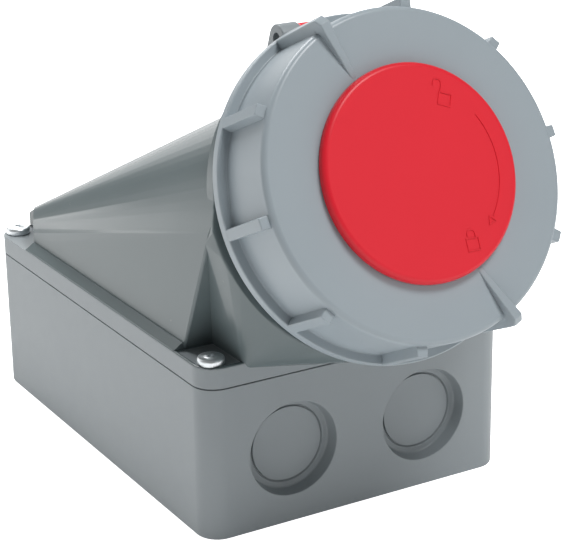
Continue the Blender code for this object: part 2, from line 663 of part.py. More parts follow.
def make_lug(name, sx, pin, axis):
    """A hinge lug: an eye on a foot that widens to the back and clears the hood."""
    x0, x1 = sx * LUG_INNER, sx * LUG_OUTER
    points = []
    for x in (x0, x1):
        points += cone_points(LUG_RADIUS, (x, *pin), (1, 0, 0), FACES_SMALL)
        points += [(x, HINGE_HEIGHT - LUG_RADIUS, -FLANGE_FRONT - FIT),
                   (x, HINGE_HEIGHT - LUG_RADIUS, -FLANGE_BACK),
                   (x, LUG_HEEL_HEIGHT, -LUG_HEEL_DEPTH)]
    lug = hull(name, points, axis)
    room = rod(name + "_room", NECK_RADIUS + FIT, (0, 0, -FLANGE_BACK + HAIR),
               (0, 0, -2 * LUG_HEEL_DEPTH), axis, faces=FACES_ROUND)
    return cut(lug, room)


def collar_seal_radii(grow):
    inner = SOCKET_HOLE + COLLAR_SEAL_LIP
    return inner - grow, inner + COLLAR_SEAL_WIDTH + grow


def make_collar_screws(material, axis):
    for i in range(4):
        x, up = collar_screw_place(i)
        make_screw(f"collar_screw_{i + 1}", x, up, -FLANGE_FRONT, axis, material,
                   COLLAR_SCREW_RADIUS, COLLAR_SCREW_HEAD_RADIUS, COLLAR_SCREW_HEAD_HEIGHT,
                   COLLAR_SCREW_LENGTH, faces=FACES_SMALL // 2 + 2)


def make_ring(material, axis):
    """The locking ring: face, skirt, rim, cams inside and grip ribs outside."""
    edge = RING_EDGE
    back_radius = RING_RADIUS + RING_DRAFT
    profile = [(RING_HOLE, 0), *arc(RING_RADIUS - edge, -edge, edge, 90, 0, 5),
               (back_radius, -RIM_FRONT), (RIM_RADIUS, -RIM_FRONT), (RIM_RADIUS, -RIM_BACK),
               (SKIRT_BORE, -RIM_BACK), (SKIRT_BORE, -RING_FACE_WALL),
               (RING_HOLE, -RING_FACE_WALL)]
    ring = turned("bayonet_ring", profile, axis, material, faces=RING_FACES)
    root = RING_RADIUS - RING_WALL / 2
    for i in range(RIB_COUNT):
        turn = Matrix.Rotation(math.radians(RIB_FIRST_DEG + 360 * i / RIB_COUNT), 4, "Z")
        pointer = i in POINTER_RIBS
        start = -RING_EDGE if pointer else -RIB_START
        front = [(root, start), (RIM_RADIUS - RIB_FRONT_DROP, start)]
        if pointer:
            front = [(root, -RING_FACE_WALL / 2), (root, POINTER_RISE),
                     (RIM_RADIUS - RING_EDGE, POINTER_RISE), (RIM_RADIUS, POINTER_RISE - RING_EDGE)]
        back = [(RIM_RADIUS - FIT, -RIM_FRONT - RIM_THICKNESS / 2),
                (root, -RIM_FRONT - RIM_THICKNESS / 2)]
        width = POINTER_WIDTH if pointer else RIB_WIDTH
        join(ring, rib_hull(f"rib_{i}", front + back, width, turn, axis))
        if pointer:
            start = DISC_RADIUS + RUNNING_FIT
            wedge = [(start, FIT / 2), (start, -RING_FACE_WALL / 2),
                     (root + FIT, -RING_FACE_WALL / 2), (root + FIT, POINTER_RISE - FIT)]
            join(ring, rib_hull(f"pointer_{i}", wedge, width - FIT, turn, axis))
    for i, middle in enumerate((0, 180)):
        join(ring, sector(f"ring_cam_{i}", RING_CAM_RADIUS, SKIRT_BORE + RING_WALL / 2,
                          RING_CAM_FRONT, RING_CAM_FRONT + RING_CAM_THICKNESS, middle,
                          RING_CAM_DEG, axis))
    return ring


def rib_hull(name, section, width, turn, frame):
    """A straight rib: a section of (radius, height), as wide as given, turned to its place."""
    return hull(name, [turn @ Vector((radius, y, z)) for radius, z in section
                       for y in (-width / 2, width / 2)], frame)


def make_lid(material, axis, hinge):
    """The lid: raised disc, hub, sealing plate, and the arm that reaches back to the hinge."""
    edge = DISC_EDGE
    hub_bore = HUB_RADIUS - DISC_SHELL
    profile = [(0, DISC_PROUD), *arc(DISC_RADIUS - edge, DISC_PROUD - edge, edge, 90, 0, 4),
               (DISC_RADIUS, FIT), (HUB_RADIUS, FIT), (HUB_RADIUS, -LID_FRONT),
               (LID_RADIUS, -LID_FRONT), (LID_RADIUS, -LID_BACK), (hub_bore, -LID_BACK),
               (hub_bore, DISC_PROUD - DISC_SHELL), (0, DISC_PROUD - DISC_SHELL)]
    lid = turned("lid", profile, hinge, material, closed=False)
    lid.location = AXIS_FROM_HINGE
    half = LID_RIB_WIDTH / 2
    reach = hub_bore + DISC_SHELL / 2
    top = DISC_PROUD - DISC_SHELL / 2
    join(lid, block("lid_rib_across", (-reach, -half, -LID_BACK + FIT), (reach, half, top), axis),
         block("lid_rib_upright", (-half, -reach, -LID_BACK + 2 * FIT), (half, reach, top - FIT), axis))
    half_knuckle = ARM_WIDTH / 2
    half_arm = half_knuckle - FIT
    half_finger = half_arm - FIT
    arm_back = HINGE_DEPTH - PIN_HOLE
    finger_deg = 2 * math.degrees(math.asin(half_finger / ARM_OUTER))
    join(lid, sector("lid_finger", ARM_INNER, ARM_OUTER, LID_BACK - LID_PLATE_THICKNESS / 2,
                     arm_back, 90, finger_deg, axis))
    join(lid, block("lid_arm", (-half_arm, ARM_INNER - FIT, -arm_back + FIT),
                    (half_arm, HINGE_HEIGHT, -ARM_FRONT), axis))
    pin = (HINGE_HEIGHT, -HINGE_DEPTH)
    join(lid, rod("lid_knuckle", KNUCKLE_RADIUS, (-half_knuckle, *pin), (half_knuckle, *pin), axis,
                  faces=2 * FACES_SMALL))
    cut(lid, rod("lid_pin_hole", PIN_HOLE, (-ARM_WIDTH, *pin), (ARM_WIDTH, *pin), axis))
    return lid


def make_seals(material, axis, hinge):
    """The three rubber seals: box to cover, collar to hood, and lid to collar."""
    rounded_frame("cover_seal", (BOX_WALL - SEAL_WIDTH) / 2, SEAL_WIDTH,
                  BOX_HEIGHT - SEAL_HEIGHT, BOX_HEIGHT, material)
    inner, outer = collar_seal_radii(0.0)
    top = -MOUTH_DEPTH + FIT + COLLAR_SEAL_THICKNESS
    turned("collar_seal", [(inner, top), (outer, top), (outer, -MOUTH_DEPTH + FIT),
                           (inner, -MOUTH_DEPTH + FIT)], axis, material)
    middle = TUBE_RADIUS - TUBE_WALL / 2
    inner, outer = middle - LID_SEAL_WIDTH / 2, middle + LID_SEAL_WIDTH / 2
    front, back = LID_BACK + FIT, TUBE_FRONT - FIT
    seal = turned("lid_seal", [(inner, -front), (outer, -front), (outer, -back), (inner, -back)],
                  hinge, material)
    seal.location = AXIS_FROM_HINGE


def make_hinge_pin(material, axis):
    reach = LUG_OUTER - PIN_INSET
    rod("hinge_pin", PIN_RADIUS, (-reach, HINGE_HEIGHT, -HINGE_DEPTH),
        (reach, HINGE_HEIGHT, -HINGE_DEPTH), axis, material)


def contact_place(index):
    """Contacts lie on a circle, with the earth contact at the keyway."""
    angle = math.radians(-90 + 360 * index / CONTACT_COUNT)
    return CONTACT_CIRCLE * math.cos(angle), CONTACT_CIRCLE * math.sin(angle)


def make_contacts(plastic, brass, steel, axis):
    """The insert's two halves, its sleeves with cable terminals, and the terminal screws."""
    flange_back = LEDGE_FRONT - FIT
    flange_front = flange_back - CARRIER_FLANGE
    face = turned("contact_face",
                  [(0, -CARRIER_FRONT), (CARRIER_RADIUS, -CARRIER_FRONT),
                   (CARRIER_RADIUS, -CARRIER_SPLIT + FIT), (0, -CARRIER_SPLIT + FIT)], axis,
                  plastic, closed=False, faces=FACES_CARRIER)
    carrier = turned("contact_carrier",
                     [(0, -CARRIER_SPLIT), (CARRIER_RADIUS, -CARRIER_SPLIT),
                      (CARRIER_RADIUS, -flange_front), (TUBE_BORE - FIT, -flange_front),
                      (TUBE_BORE - FIT, -flange_back), (CARRIER_RADIUS, -flange_back),
                      (CARRIER_RADIUS, -CARRIER_BACK), (0, -CARRIER_BACK)], axis, plastic,
                     closed=False, faces=FACES_CARRIER)
    names = ("contact_earth", "contact_line_1", "contact_line_2", "contact_line_3",
             "contact_neutral")
    sleeves = []
    for i, name in enumerate(names):
        radius, bore = (EARTH_RADIUS, EARTH_BORE) if i == 0 else (CONTACT_RADIUS, CONTACT_BORE)
        sleeves.append((name, contact_place(i), radius, bore))
    sleeves.append(("contact_pilot", (0, 0), PILOT_RADIUS, PILOT_BORE))
    for name, (x, y), radius, bore in sleeves:
        seat = (radius + FIT) / math.cos(math.pi / FACES_SEAT)
        bore_cutter = rod(name + "_seat", seat, (x, y, -CARRIER_FRONT + THROUGH),
                          (x, y, -CARRIER_BACK - THROUGH), axis, faces=FACES_SEAT)
        cut(face, bore_cutter)
        cut(carrier, bore_cutter)
        terminal = min(TERMINAL_BORE, bore)
        sleeve = turned(name, [(bore, -CONTACT_FRONT), (radius, -CONTACT_FRONT),
                               (radius, -CONTACT_BACK), (terminal, -CONTACT_BACK),
                               (terminal, -CONTACT_BACK + TERMINAL_BORE_DEPTH),
                               (0, -CONTACT_BACK + TERMINAL_BORE_DEPTH),
                               (0, -CONTACT_FRONT - CONTACT_BORE_DEPTH),
                               (bore, -CONTACT_FRONT - CONTACT_BORE_DEPTH)], axis, brass,
                        closed=True, faces=FACES_SMALL)
        sleeve.location = (x, y, 0)
        if name == "contact_pilot":
            continue
        out = Vector((x, y, 0)).normalized()
        centre = Vector((x, y, -TERMINAL_SCREW_DEPTH))
        cut(sleeve, rod(name + "_tapping", TERMINAL_SCREW_RADIUS + FIT, centre,
                        centre + out * 2 * radius, axis, faces=FACES_SMALL // 2))
        screw = rod(name.replace("contact", "terminal_screw"), TERMINAL_SCREW_RADIUS,
                    centre + out * (terminal + FIT), centre + out * (radius + TERMINAL_SCREW_PROUD),
                    axis, steel, faces=FACES_SMALL // 2)
        shade(screw)
    return carrier


def main():
    clear_scene()
    make_collection(SOLIDS)
    make_collection(CUTTERS)
    housing = make_material("housing_grey", (0.205, 0.235, 0.25), 0.32)
    ring_grey = make_material("ring_grey", (0.33, 0.37, 0.39), 0.42)
    red = make_material("signal_red", (0.72, 0.04, 0.055), 0.35)
    rubber = make_material("seal_rubber", (0.02, 0.02, 0.02), 0.7)
    zinc = make_material("zinc_plate", (0.72, 0.74, 0.76), 0.25, 1.0)
    brass = make_material("brass", (0.78, 0.57, 0.26), 0.3, 1.0)
    black = make_material("insert_black", (0.03, 0.03, 0.033), 0.5)
    axis = Frame("socket_axis", (0, AXIS_Y, AXIS_Z), math.radians(90 - AXIS_TILT_DEG))
    hinge = Frame("lid_hinge", (0, HINGE_HEIGHT, -HINGE_DEPTH), parent=axis)
    make_back_box(housing)
    make_hood_cover(housing, axis)
    make_cover_screws(zinc)
    make_collar(housing, axis)
    make_collar_screws(zinc, axis)
    make_ring(ring_grey, axis)
    make_lid(red, axis, hinge)
    make_seals(rubber, axis, hinge)
    make_hinge_pin(zinc, axis)
    make_contacts(black, brass, zinc, axis)


main()
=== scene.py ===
# %% [markdown]
# # Dressing an industrial wall socket
# The construction model gives every piece its true size and place, but its round parts are
# many-sided and its edges are sharp. This lesson builds the mouldings again with the small
# radii that a moulding tool leaves, gives each one its plastic or metal, and lights them like a
# catalogue picture. Lengths are metres; MM turns millimetres into them.

# %% Load the fixed frame
import json
import math

import bmesh
import bpy
from mathutils import Matrix, Vector


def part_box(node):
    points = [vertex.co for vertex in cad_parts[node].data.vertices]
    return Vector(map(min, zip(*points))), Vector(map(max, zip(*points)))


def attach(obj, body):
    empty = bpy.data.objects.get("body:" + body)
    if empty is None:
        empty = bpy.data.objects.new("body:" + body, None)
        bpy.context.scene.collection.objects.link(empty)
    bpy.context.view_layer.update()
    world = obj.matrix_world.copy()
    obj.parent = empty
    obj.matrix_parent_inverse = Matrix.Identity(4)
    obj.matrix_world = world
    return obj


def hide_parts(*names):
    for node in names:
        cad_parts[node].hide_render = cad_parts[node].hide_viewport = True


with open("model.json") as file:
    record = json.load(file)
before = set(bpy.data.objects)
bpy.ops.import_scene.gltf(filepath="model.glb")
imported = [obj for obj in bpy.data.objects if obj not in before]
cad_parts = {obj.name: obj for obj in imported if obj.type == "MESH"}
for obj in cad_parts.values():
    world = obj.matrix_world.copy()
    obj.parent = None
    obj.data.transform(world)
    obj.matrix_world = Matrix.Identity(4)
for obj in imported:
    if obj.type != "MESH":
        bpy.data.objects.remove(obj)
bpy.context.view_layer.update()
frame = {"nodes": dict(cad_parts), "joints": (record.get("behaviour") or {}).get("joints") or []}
MM = 0.001
print("nodes in the frame:", len(frame["nodes"]))

# %% [markdown]
# ## Where things are
# The socket looks along an axis that leans above the wall's face. The frame's joints say where
# that axis and the hinge are, so every round piece can be turned about plain Z and then moved
# there by one matrix. In that socket frame X is right, Y is up the face and Z comes out.

# %% The socket frame and the driving sizes
joints = {joint["name"]: joint for joint in frame["joints"]}
ring_centre = Vector(joints["ring_turn"]["pos_m"])
outward = -Vector(joints["ring_turn"]["axis"]).normalized()
across = Vector((1, 0, 0))
upward = outward.cross(across)
SOCKET = Matrix.Translation(ring_centre) @ Matrix((across, upward, outward)).transposed().to_4x4()

_, box_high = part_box("back_box")
cover_low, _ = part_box("hood_cover")
HALF_WIDTH, HALF_LENGTH, BOX_HEIGHT = box_high.x, box_high.y, box_high.z
BOX_CORNER, BOX_WALL, BOX_FLOOR = 8.5 * MM, 3.5 * MM, 3.0 * MM
FIT = 0.3 * MM
COVER_BOTTOM, SKIRT_HEIGHT, COVER_PLATE = cover_low.z, 7.7 * MM, 3.0 * MM
COVER_TOP = COVER_BOTTOM + SKIRT_HEIGHT
hinge_in_socket = SOCKET.inverted() @ Vector(joints["lid_hinge"]["pos_m"])
HINGE_UP, HINGE_DEPTH = hinge_in_socket.y, -hinge_in_socket.z
print("hinge in the socket frame, mm:", [round(v / MM, 1) for v in hinge_in_socket])

# %% [markdown]
# ## The camera
# A product shot from the front left, a little above. A long lens keeps the box's edges nearly
# parallel. Azimuth is counted from -Y, so minus thirty degrees stands to the left.

# %% Camera
CAMERA_PLACE = Vector((-0.3249, -0.5980, 0.3017))
CAMERA_AZIMUTH, CAMERA_HEIGHT, CAMERA_ROLL = (math.radians(a) for a in (-30.0, 19.58, -0.94))
CAMERA_LENS, SENSOR_WIDTH = 120.85, 36.0


def aim_camera():
    level = Vector((math.cos(CAMERA_AZIMUTH), math.sin(CAMERA_AZIMUTH), 0))
    back = Vector((math.sin(CAMERA_AZIMUTH) * math.cos(CAMERA_HEIGHT),
                   -math.cos(CAMERA_AZIMUTH) * math.cos(CAMERA_HEIGHT),
                   math.sin(CAMERA_HEIGHT)))
    right = Matrix.Rotation(CAMERA_ROLL, 3, back) @ level
    camera = bpy.data.cameras.new("camera")
    camera.sensor_fit = "HORIZONTAL"
    camera.sensor_width, camera.lens = SENSOR_WIDTH, CAMERA_LENS
    camera.clip_start = 0.01
    eye = bpy.data.objects.new("camera", camera)
    facing = Matrix((right, back.cross(right), back)).transposed().to_4x4()
    eye.matrix_world = Matrix.Translation(CAMERA_PLACE) @ facing
    bpy.context.scene.collection.objects.link(eye)
    bpy.context.scene.camera = eye
    print("camera set", round(CAMERA_LENS), "mm")


aim_camera()

# %% [markdown]
# ## Nodes and colours
# Colours are written as the hex values that a picture editor shows and turned to the linear
# values that the renderer works in. One function adds any shader node with its settings and
# links, so a material reads as a short list of steps.

# %% Colour and node helpers


def linear(hex_colour):
    def channel(value):
        return value / 12.92 if value <= 0.04045 else ((value + 0.055) / 1.055) ** 2.4
    parts = [int(hex_colour[i:i + 2], 16) / 255 for i in (1, 3, 5)]
    return (*(channel(part) for part in parts), 1.0)


def add(tree, kind, settings=None, links=None):
    """A node with its properties or input values, and links from (node, output) to its inputs."""
    node = tree.nodes.new(kind)
    for key, value in (settings or {}).items():
        if isinstance(key, str) and hasattr(node, key):
            setattr(node, key, value)
        else:
            node.inputs[key].default_value = value
    for socket, (source, output) in (links or {}).items():
        tree.links.new(source.outputs[output], node.inputs[socket])
    return node


def start_material(name):
    material = bpy.data.materials.new(name)
    material.use_nodes = True
    tree = material.node_tree
    shader = tree.nodes["Principled BSDF"]
    place = add(tree, "ShaderNodeTexCoord")
    return material, tree, shader, place


# %% [markdown]
# ## Moulded grey plastic
# The box, hood and ring are injection-moulded polyamide. Its colour is dyed through, so it
# barely varies; what the eye reads as plastic is a fine grain from the eroded tool, a little
# unevenness in the gloss, and very faint flow clouds. The grain of such tools is a few
# hundredths of a millimetre; here it is drawn at 0.35 mm so that a pixel can hold it.

# %% Plastics
GRAIN, CLOUDS, SCUFFS = 0.35 * MM, 35 * MM, 6 * MM
PLASTIC_IOR, LID_SPECULAR = 1.5, 0.3


def moulded_plastic(name, tone, shade, roughness, unevenness=0.06, grain_height=0.012):
    """Dyed thermoplastic: two close tones in clouds, uneven gloss and a fine tool grain."""
    material, tree, shader, place = start_material(name)
    clouds = add(tree, "ShaderNodeTexNoise", {"Scale": 1 / CLOUDS, "Detail": 3.0, "Roughness": 0.5},
                 {"Vector": (place, "Object")})
    colour = add(tree, "ShaderNodeMix", {"data_type": "RGBA"}, {0: (clouds, "Fac")})
    colour.inputs["A"].default_value = linear(tone)
    colour.inputs["B"].default_value = linear(shade)
    scuffs = add(tree, "ShaderNodeTexNoise", {"Scale": 1 / SCUFFS, "Detail": 6.0, "Roughness": 0.65},
                 {"Vector": (place, "Object")})
    gloss = add(tree, "ShaderNodeMapRange", {"To Min": roughness - unevenness,
                                             "To Max": roughness + unevenness},
                {"Value": (scuffs, "Fac")})
    grain = add(tree, "ShaderNodeTexNoise", {"Scale": 1 / GRAIN, "Detail": 2.0},
                {"Vector": (place, "Object")})
    bump = add(tree, "ShaderNodeBump", {"Strength": 0.35, "Distance": grain_height * MM},
               {"Height": (grain, "Fac")})
    tree.links.new(colour.outputs["Result"], shader.inputs["Base Color"])
    tree.links.new(gloss.outputs["Result"], shader.inputs["Roughness"])
    tree.links.new(bump.outputs["Normal"], shader.inputs["Normal"])
    shader.inputs["IOR"].default_value = PLASTIC_IOR
    print("plastic:", name)
    return material


box_polyamide = moulded_plastic("polyamide_box_grey", "#8d9497", "#888f93", 0.42)
# The hood's darker tone is painted shade: it is the box's polyamide, coloured darker so that the hood's
# slopes look shaded.
hood_painted_shade_polyamide = moulded_plastic("polyamide_hood_grey_painted_shade", "#626d6f", "#5e696b", 0.26, 0.03, 0.002)
ring_polyamide = moulded_plastic("polyamide_ring_grey", "#98a2a8", "#949ea4", 0.34)
lid_polyamide = moulded_plastic("polyamide_signal_red", "#df2433", "#da2231", 0.36)
# The red is matter than the greys, so less light goes off its surface.
lid_shader = lid_polyamide.node_tree.nodes["Principled BSDF"]
lid_shader.inputs["Specular IOR Level"].default_value = LID_SPECULAR
insert_thermoset = moulded_plastic("thermoset_insert_black", "#2b2c2e", "#252628", 0.5)

# %% [markdown]
# ## Rubber, zinc and brass
# The seals are black rubber, dull and slightly dusty. The screws are steel with bright zinc: a
# mirror that is broken by fine cutting marks. The contact sleeves are turned brass, whose tool
# leaves rings about a tenth of a millimetre apart.

# %% Rubber and metals
PATCHES, MARK_HEIGHT = 2 * MM, 0.01 * MM


def seal_rubber():
    material, tree, shader, place = start_material("nitrile_rubber_seal")
    dust = add(tree, "ShaderNodeTexNoise", {"Scale": 1 / SCUFFS, "Detail": 4.0},
               {"Vector": (place, "Object")})
    colour = add(tree, "ShaderNodeMix", {"data_type": "RGBA"}, {0: (dust, "Fac")})
    colour.inputs["A"].default_value = linear("#1a1a1b")
    colour.inputs["B"].default_value = linear("#2a2a2b")
    tree.links.new(colour.outputs["Result"], shader.inputs["Base Color"])
    shader.inputs["Roughness"].default_value = 0.75
    return material


def bright_metal(name, tone, shade, roughness, mark_spacing):
    """A plated or turned metal: its tone, a darker tone in patches, and fine tool marks."""
    material, tree, shader, place = start_material(name)
    patches = add(tree, "ShaderNodeTexNoise", {"Scale": 1 / PATCHES, "Detail": 5.0},
                  {"Vector": (place, "Object")})
    colour = add(tree, "ShaderNodeMix", {"data_type": "RGBA"}, {0: (patches, "Fac")})
    colour.inputs["A"].default_value = linear(tone)
    colour.inputs["B"].default_value = linear(shade)
    gloss = add(tree, "ShaderNodeMapRange", {"To Min": roughness * 0.6, "To Max": roughness * 1.6},
                {"Value": (patches, "Fac")})
    marks = add(tree, "ShaderNodeTexNoise", {"Scale": 1 / mark_spacing, "Detail": 2.0},
                {"Vector": (place, "Object")})
    bump = add(tree, "ShaderNodeBump", {"Strength": 0.25, "Distance": MARK_HEIGHT},
               {"Height": (marks, "Fac")})
    tree.links.new(colour.outputs["Result"], shader.inputs["Base Color"])
    tree.links.new(gloss.outputs["Result"], shader.inputs["Roughness"])
    tree.links.new(bump.outputs["Normal"], shader.inputs["Normal"])
    shader.inputs["Metallic"].default_value = 1.0
    print("metal:", name)
    return material


rubber = seal_rubber()
zinc_plate = bright_metal("zinc_plated_steel", "#f7fafb", "#dde3e7", 0.34, 0.3 * MM)
turned_brass = bright_metal("turned_brass", "#d8b366", "#bf9850", 0.25, 0.1 * MM)

# %% [markdown]
# ## Shapes with soft edges
# Three helpers do most of the modelling. `turn` spins an outline about Z, for everything that
# was turned or moulded round. `soft_block` puts a small ball at each corner of a convex shape
# and stretches a skin over the balls, which rounds every edge by the ball's radius. `combine`
# joins or cuts two shapes with a Boolean modifier and keeps the result as plain mesh. The
# modifier can lose a shape where two faces lie in one plane, so joined pieces overlap, or differ
# by a hair.

# %% Modelling helpers
SHARP_DEG, MERGE = 32.0, 0.001 * MM


def arc(centre_r, centre_z, radius, start_deg, end_deg, steps):
    """Points of a fillet in an outline."""
    angles = [math.radians(start_deg + (end_deg - start_deg) * i / steps) for i in range(steps + 1)]
    return [(centre_r + radius * math.cos(a), centre_z + radius * math.sin(a)) for a in angles]


def turn(outline, closed=True, steps=128, angle=360.0, start=0.0):
    """A bmesh of an outline of (radius, height) spun about Z."""
    bm = bmesh.new()
    first = Matrix.Rotation(math.radians(start), 3, "Z")
    verts = [bm.verts.new(first @ Vector((r, 0, z))) for r, z in outline]
    following = verts[1:] + verts[:1] if closed else verts[1:]
    edges = [bm.edges.new(pair) for pair in zip(verts, following)]
    whole = angle == 360.0
    if not whole:
        edges += [bm.faces.new(verts)]
    bmesh.ops.spin(bm, geom=verts + edges, cent=(0, 0, 0), axis=(0, 0, 1),
                   angle=math.radians(angle), steps=steps, use_merge=whole)
    bmesh.ops.remove_doubles(bm, verts=bm.verts, dist=MERGE / 2)
    bmesh.ops.recalc_face_normals(bm, faces=bm.faces)
    return bm


def soft_block(corners, radius, fineness=2):
    """The skin over balls of one radius, whose outsides touch the convex shape given."""
    bm = bmesh.new()
    for corner in corners:
        bmesh.ops.create_icosphere(bm, subdivisions=fineness, radius=radius,
                                   matrix=Matrix.Translation(corner))
    bmesh.ops.delete(bm, geom=bm.faces[:], context="FACES_ONLY")
    bmesh.ops.delete(bm, geom=bm.edges[:], context="EDGES_FACES")
    bmesh.ops.convex_hull(bm, input=bm.verts)
    bmesh.ops.delete(bm, geom=[v for v in bm.verts if not v.link_faces], context="VERTS")
    bmesh.ops.recalc_face_normals(bm, faces=bm.faces)
    return bm


def soft_box(low, high, radius, fineness=2):
    spans = [(low[i] + radius, high[i] - radius) for i in range(3)]
    corners = [Vector((x, y, z)) for x in spans[0] for y in spans[1] for z in spans[2]]
    return soft_block(corners, radius, fineness)


def rod(radius, start, end, tip=None, faces=48):
    start, end = Vector(start), Vector(end)
    lean = Vector((0, 0, 1)).rotation_difference((end - start).normalized()).to_matrix().to_4x4()
    bm = bmesh.new()
    bmesh.ops.create_cone(bm, cap_ends=True, segments=faces, radius1=radius,
                          radius2=radius if tip is None else tip, depth=(end - start).length,
                          matrix=Matrix.Translation((start + end) / 2) @ lean)
    return bm


def moved(bm, matrix):
    bmesh.ops.transform(bm, matrix=matrix, verts=bm.verts)
    return bm


def as_object(name, bm):
    mesh = bpy.data.meshes.new(name)
    bm.to_mesh(mesh)
    bm.free()
    obj = bpy.data.objects.new(name, mesh)
    bpy.context.scene.collection.objects.link(obj)
    return obj


def combine(base, tool, operation="DIFFERENCE"):
    """Joins or cuts base with a bmesh, which is used up, and keeps the result as plain mesh."""
    helper = as_object("helper", tool)
    modifier = base.modifiers.new("combine", "BOOLEAN")
    modifier.object, modifier.operation, modifier.solver = helper, operation, "EXACT"
    bpy.context.view_layer.update()
    graph = bpy.context.evaluated_depsgraph_get()
    result = bpy.data.meshes.new_from_object(base.evaluated_get(graph))
    base.modifiers.clear()
    base.data = result
    bpy.data.objects.remove(helper)
    return base


def join(base, *tools):
    for tool in tools:
        combine(base, tool, "UNION")
    return base


def cut(base, *tools):
    for tool in tools:
        combine(base, tool)
    return base


def finish_piece(obj, material, body, nodes=()):
    """Cleans a mesh, shades it smooth between real edges, ties it to its body and hides the nodes it
    stands in for.
    """
    bm = bmesh.new()
    bm.from_mesh(obj.data)
    bmesh.ops.remove_doubles(bm, verts=bm.verts, dist=MERGE)
    bmesh.ops.dissolve_degenerate(bm, edges=bm.edges, dist=MERGE)
    bm.to_mesh(obj.data)
    bm.free()
    obj.data.materials.clear()
    obj.data.materials.append(material)
    obj.data.shade_smooth()
    obj.data.set_sharp_from_angle(angle=math.radians(SHARP_DEG))
    weighted = obj.modifiers.new("even shading", "WEIGHTED_NORMAL")
    weighted.keep_sharp = True
    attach(obj, body)
    if nodes:
        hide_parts(*nodes)
    print(obj.name, len(obj.data.polygons), "faces")
    return obj


# %% [markdown]
# ## The back box
# One deep moulding that screws to the wall. Its upright corners are large radii, its rims are
# slightly broken. Two round knockouts sit in recesses of the front wall: the thin ring round
# each disc is where it breaks out when a gland is fitted.

# %% Back box
ENTRY_X, ENTRY_Z, ENTRY_RADIUS, ENTRY_DEPTH = 26.8 * MM, 27.6 * MM, 16.9 * MM, 5.0 * MM
ENTRY_DISC, ENTRY_GROOVE, ENTRY_TAPER, CUP_WALL = 13.5 * MM, 0.8 * MM, 0.6 * MM, 2.2 * MM
BOX_FOOT_EDGE, BOX_RIM_EDGE, BOX_INNER_EDGE = 0.9 * MM, 0.25 * MM, 1.5 * MM
BOSS_RADIUS, SCREW_INSET, SCREW_HOLE, SCREW_HOLE_DEPTH = 5.0 * MM, 6.4 * MM, 2.7 * MM, 18 * MM
FIXING_RADIUS, FIXING_HOLE, FIXING_RISE = 6.5 * MM, 3 * MM, 3 * MM
SCREW_X, SCREW_Y = HALF_WIDTH - SCREW_INSET, HALF_LENGTH - SCREW_INSET
FIXING_X, FIXING_Y = HALF_WIDTH - 21 * MM, HALF_LENGTH - 18.5 * MM
FRONT = Matrix.Rotation(math.radians(90), 4, "X")
FOUR_CORNERS = [(sx, sy) for sy in (-1, 1) for sx in (-1, 1)]


def rounded_block(low, high, corner, bottom_edge, top_edge):
    """A block whose upright edges are rounded by the corner radius and whose rims are softened."""
    low, high = Vector(low), Vector(high)
    bottom, top = low.z, high.z
    bm = bmesh.new()
    bmesh.ops.create_cube(bm, size=1.0)
    bmesh.ops.scale(bm, vec=high - low, verts=bm.verts)
    bmesh.ops.translate(bm, vec=(low + high) / 2, verts=bm.verts)
    upright = [e for e in bm.edges if abs(e.verts[0].co.z - e.verts[1].co.z) > MM]
    bmesh.ops.bevel(bm, geom=upright, offset=corner, segments=10, profile=0.5,
                    affect="EDGES", material=-1)
    for height, edge, count in ((bottom, bottom_edge, 4), (top, top_edge, 5)):
        if edge:
            rim = [e for e in bm.edges if all(abs(v.co.z - height) < 0.01 * MM for v in e.verts)]
            bmesh.ops.bevel(bm, geom=rim, offset=edge, segments=count, profile=0.5,
                            affect="EDGES", material=-1)
    return bm


def rounded_tray(inset, bottom, top, bottom_edge, top_edge):
    return rounded_block((-HALF_WIDTH + inset, -HALF_LENGTH + inset, bottom),
                         (HALF_WIDTH - inset, HALF_LENGTH - inset, top), BOX_CORNER - inset,
                         bottom_edge, top_edge)


def entry_recess(x):
    """The cutter of one knockout recess, with a lip that flares where it meets the wall."""
    lip, root = 0.35 * MM, 0.8 * MM
    wide, narrow = ENTRY_RADIUS + ENTRY_TAPER / 2, ENTRY_RADIUS - ENTRY_TAPER / 2
    outline = [(0, MM), (wide + lip, MM), (wide + lip, 0),
               *arc(wide + lip, -lip, lip, 90, 180, 4),
               *arc(narrow - root, -ENTRY_DEPTH + root, root, 0, -90, 5), (0, -ENTRY_DEPTH)]
    place = Matrix.Translation((x, -HALF_LENGTH, ENTRY_Z)) @ FRONT
    return moved(turn(outline, closed=False, steps=96), place)


def entry_ring(x):
    """The cutter of the ring round a knockout disc: steep inside, sloping outside."""
    above, steep, floor, slope = 0.3 * MM, 0.15 * MM, 0.45 * MM, 1.1 * MM
    outline = [(ENTRY_DISC, -ENTRY_DEPTH + above),
               (ENTRY_DISC + steep, -ENTRY_DEPTH - ENTRY_GROOVE),
               (ENTRY_DISC + floor, -ENTRY_DEPTH - ENTRY_GROOVE),
               (ENTRY_DISC + slope, -ENTRY_DEPTH + above)]
    place = Matrix.Translation((x, -HALF_LENGTH, ENTRY_Z)) @ FRONT
    return moved(turn(outline, steps=96), place)


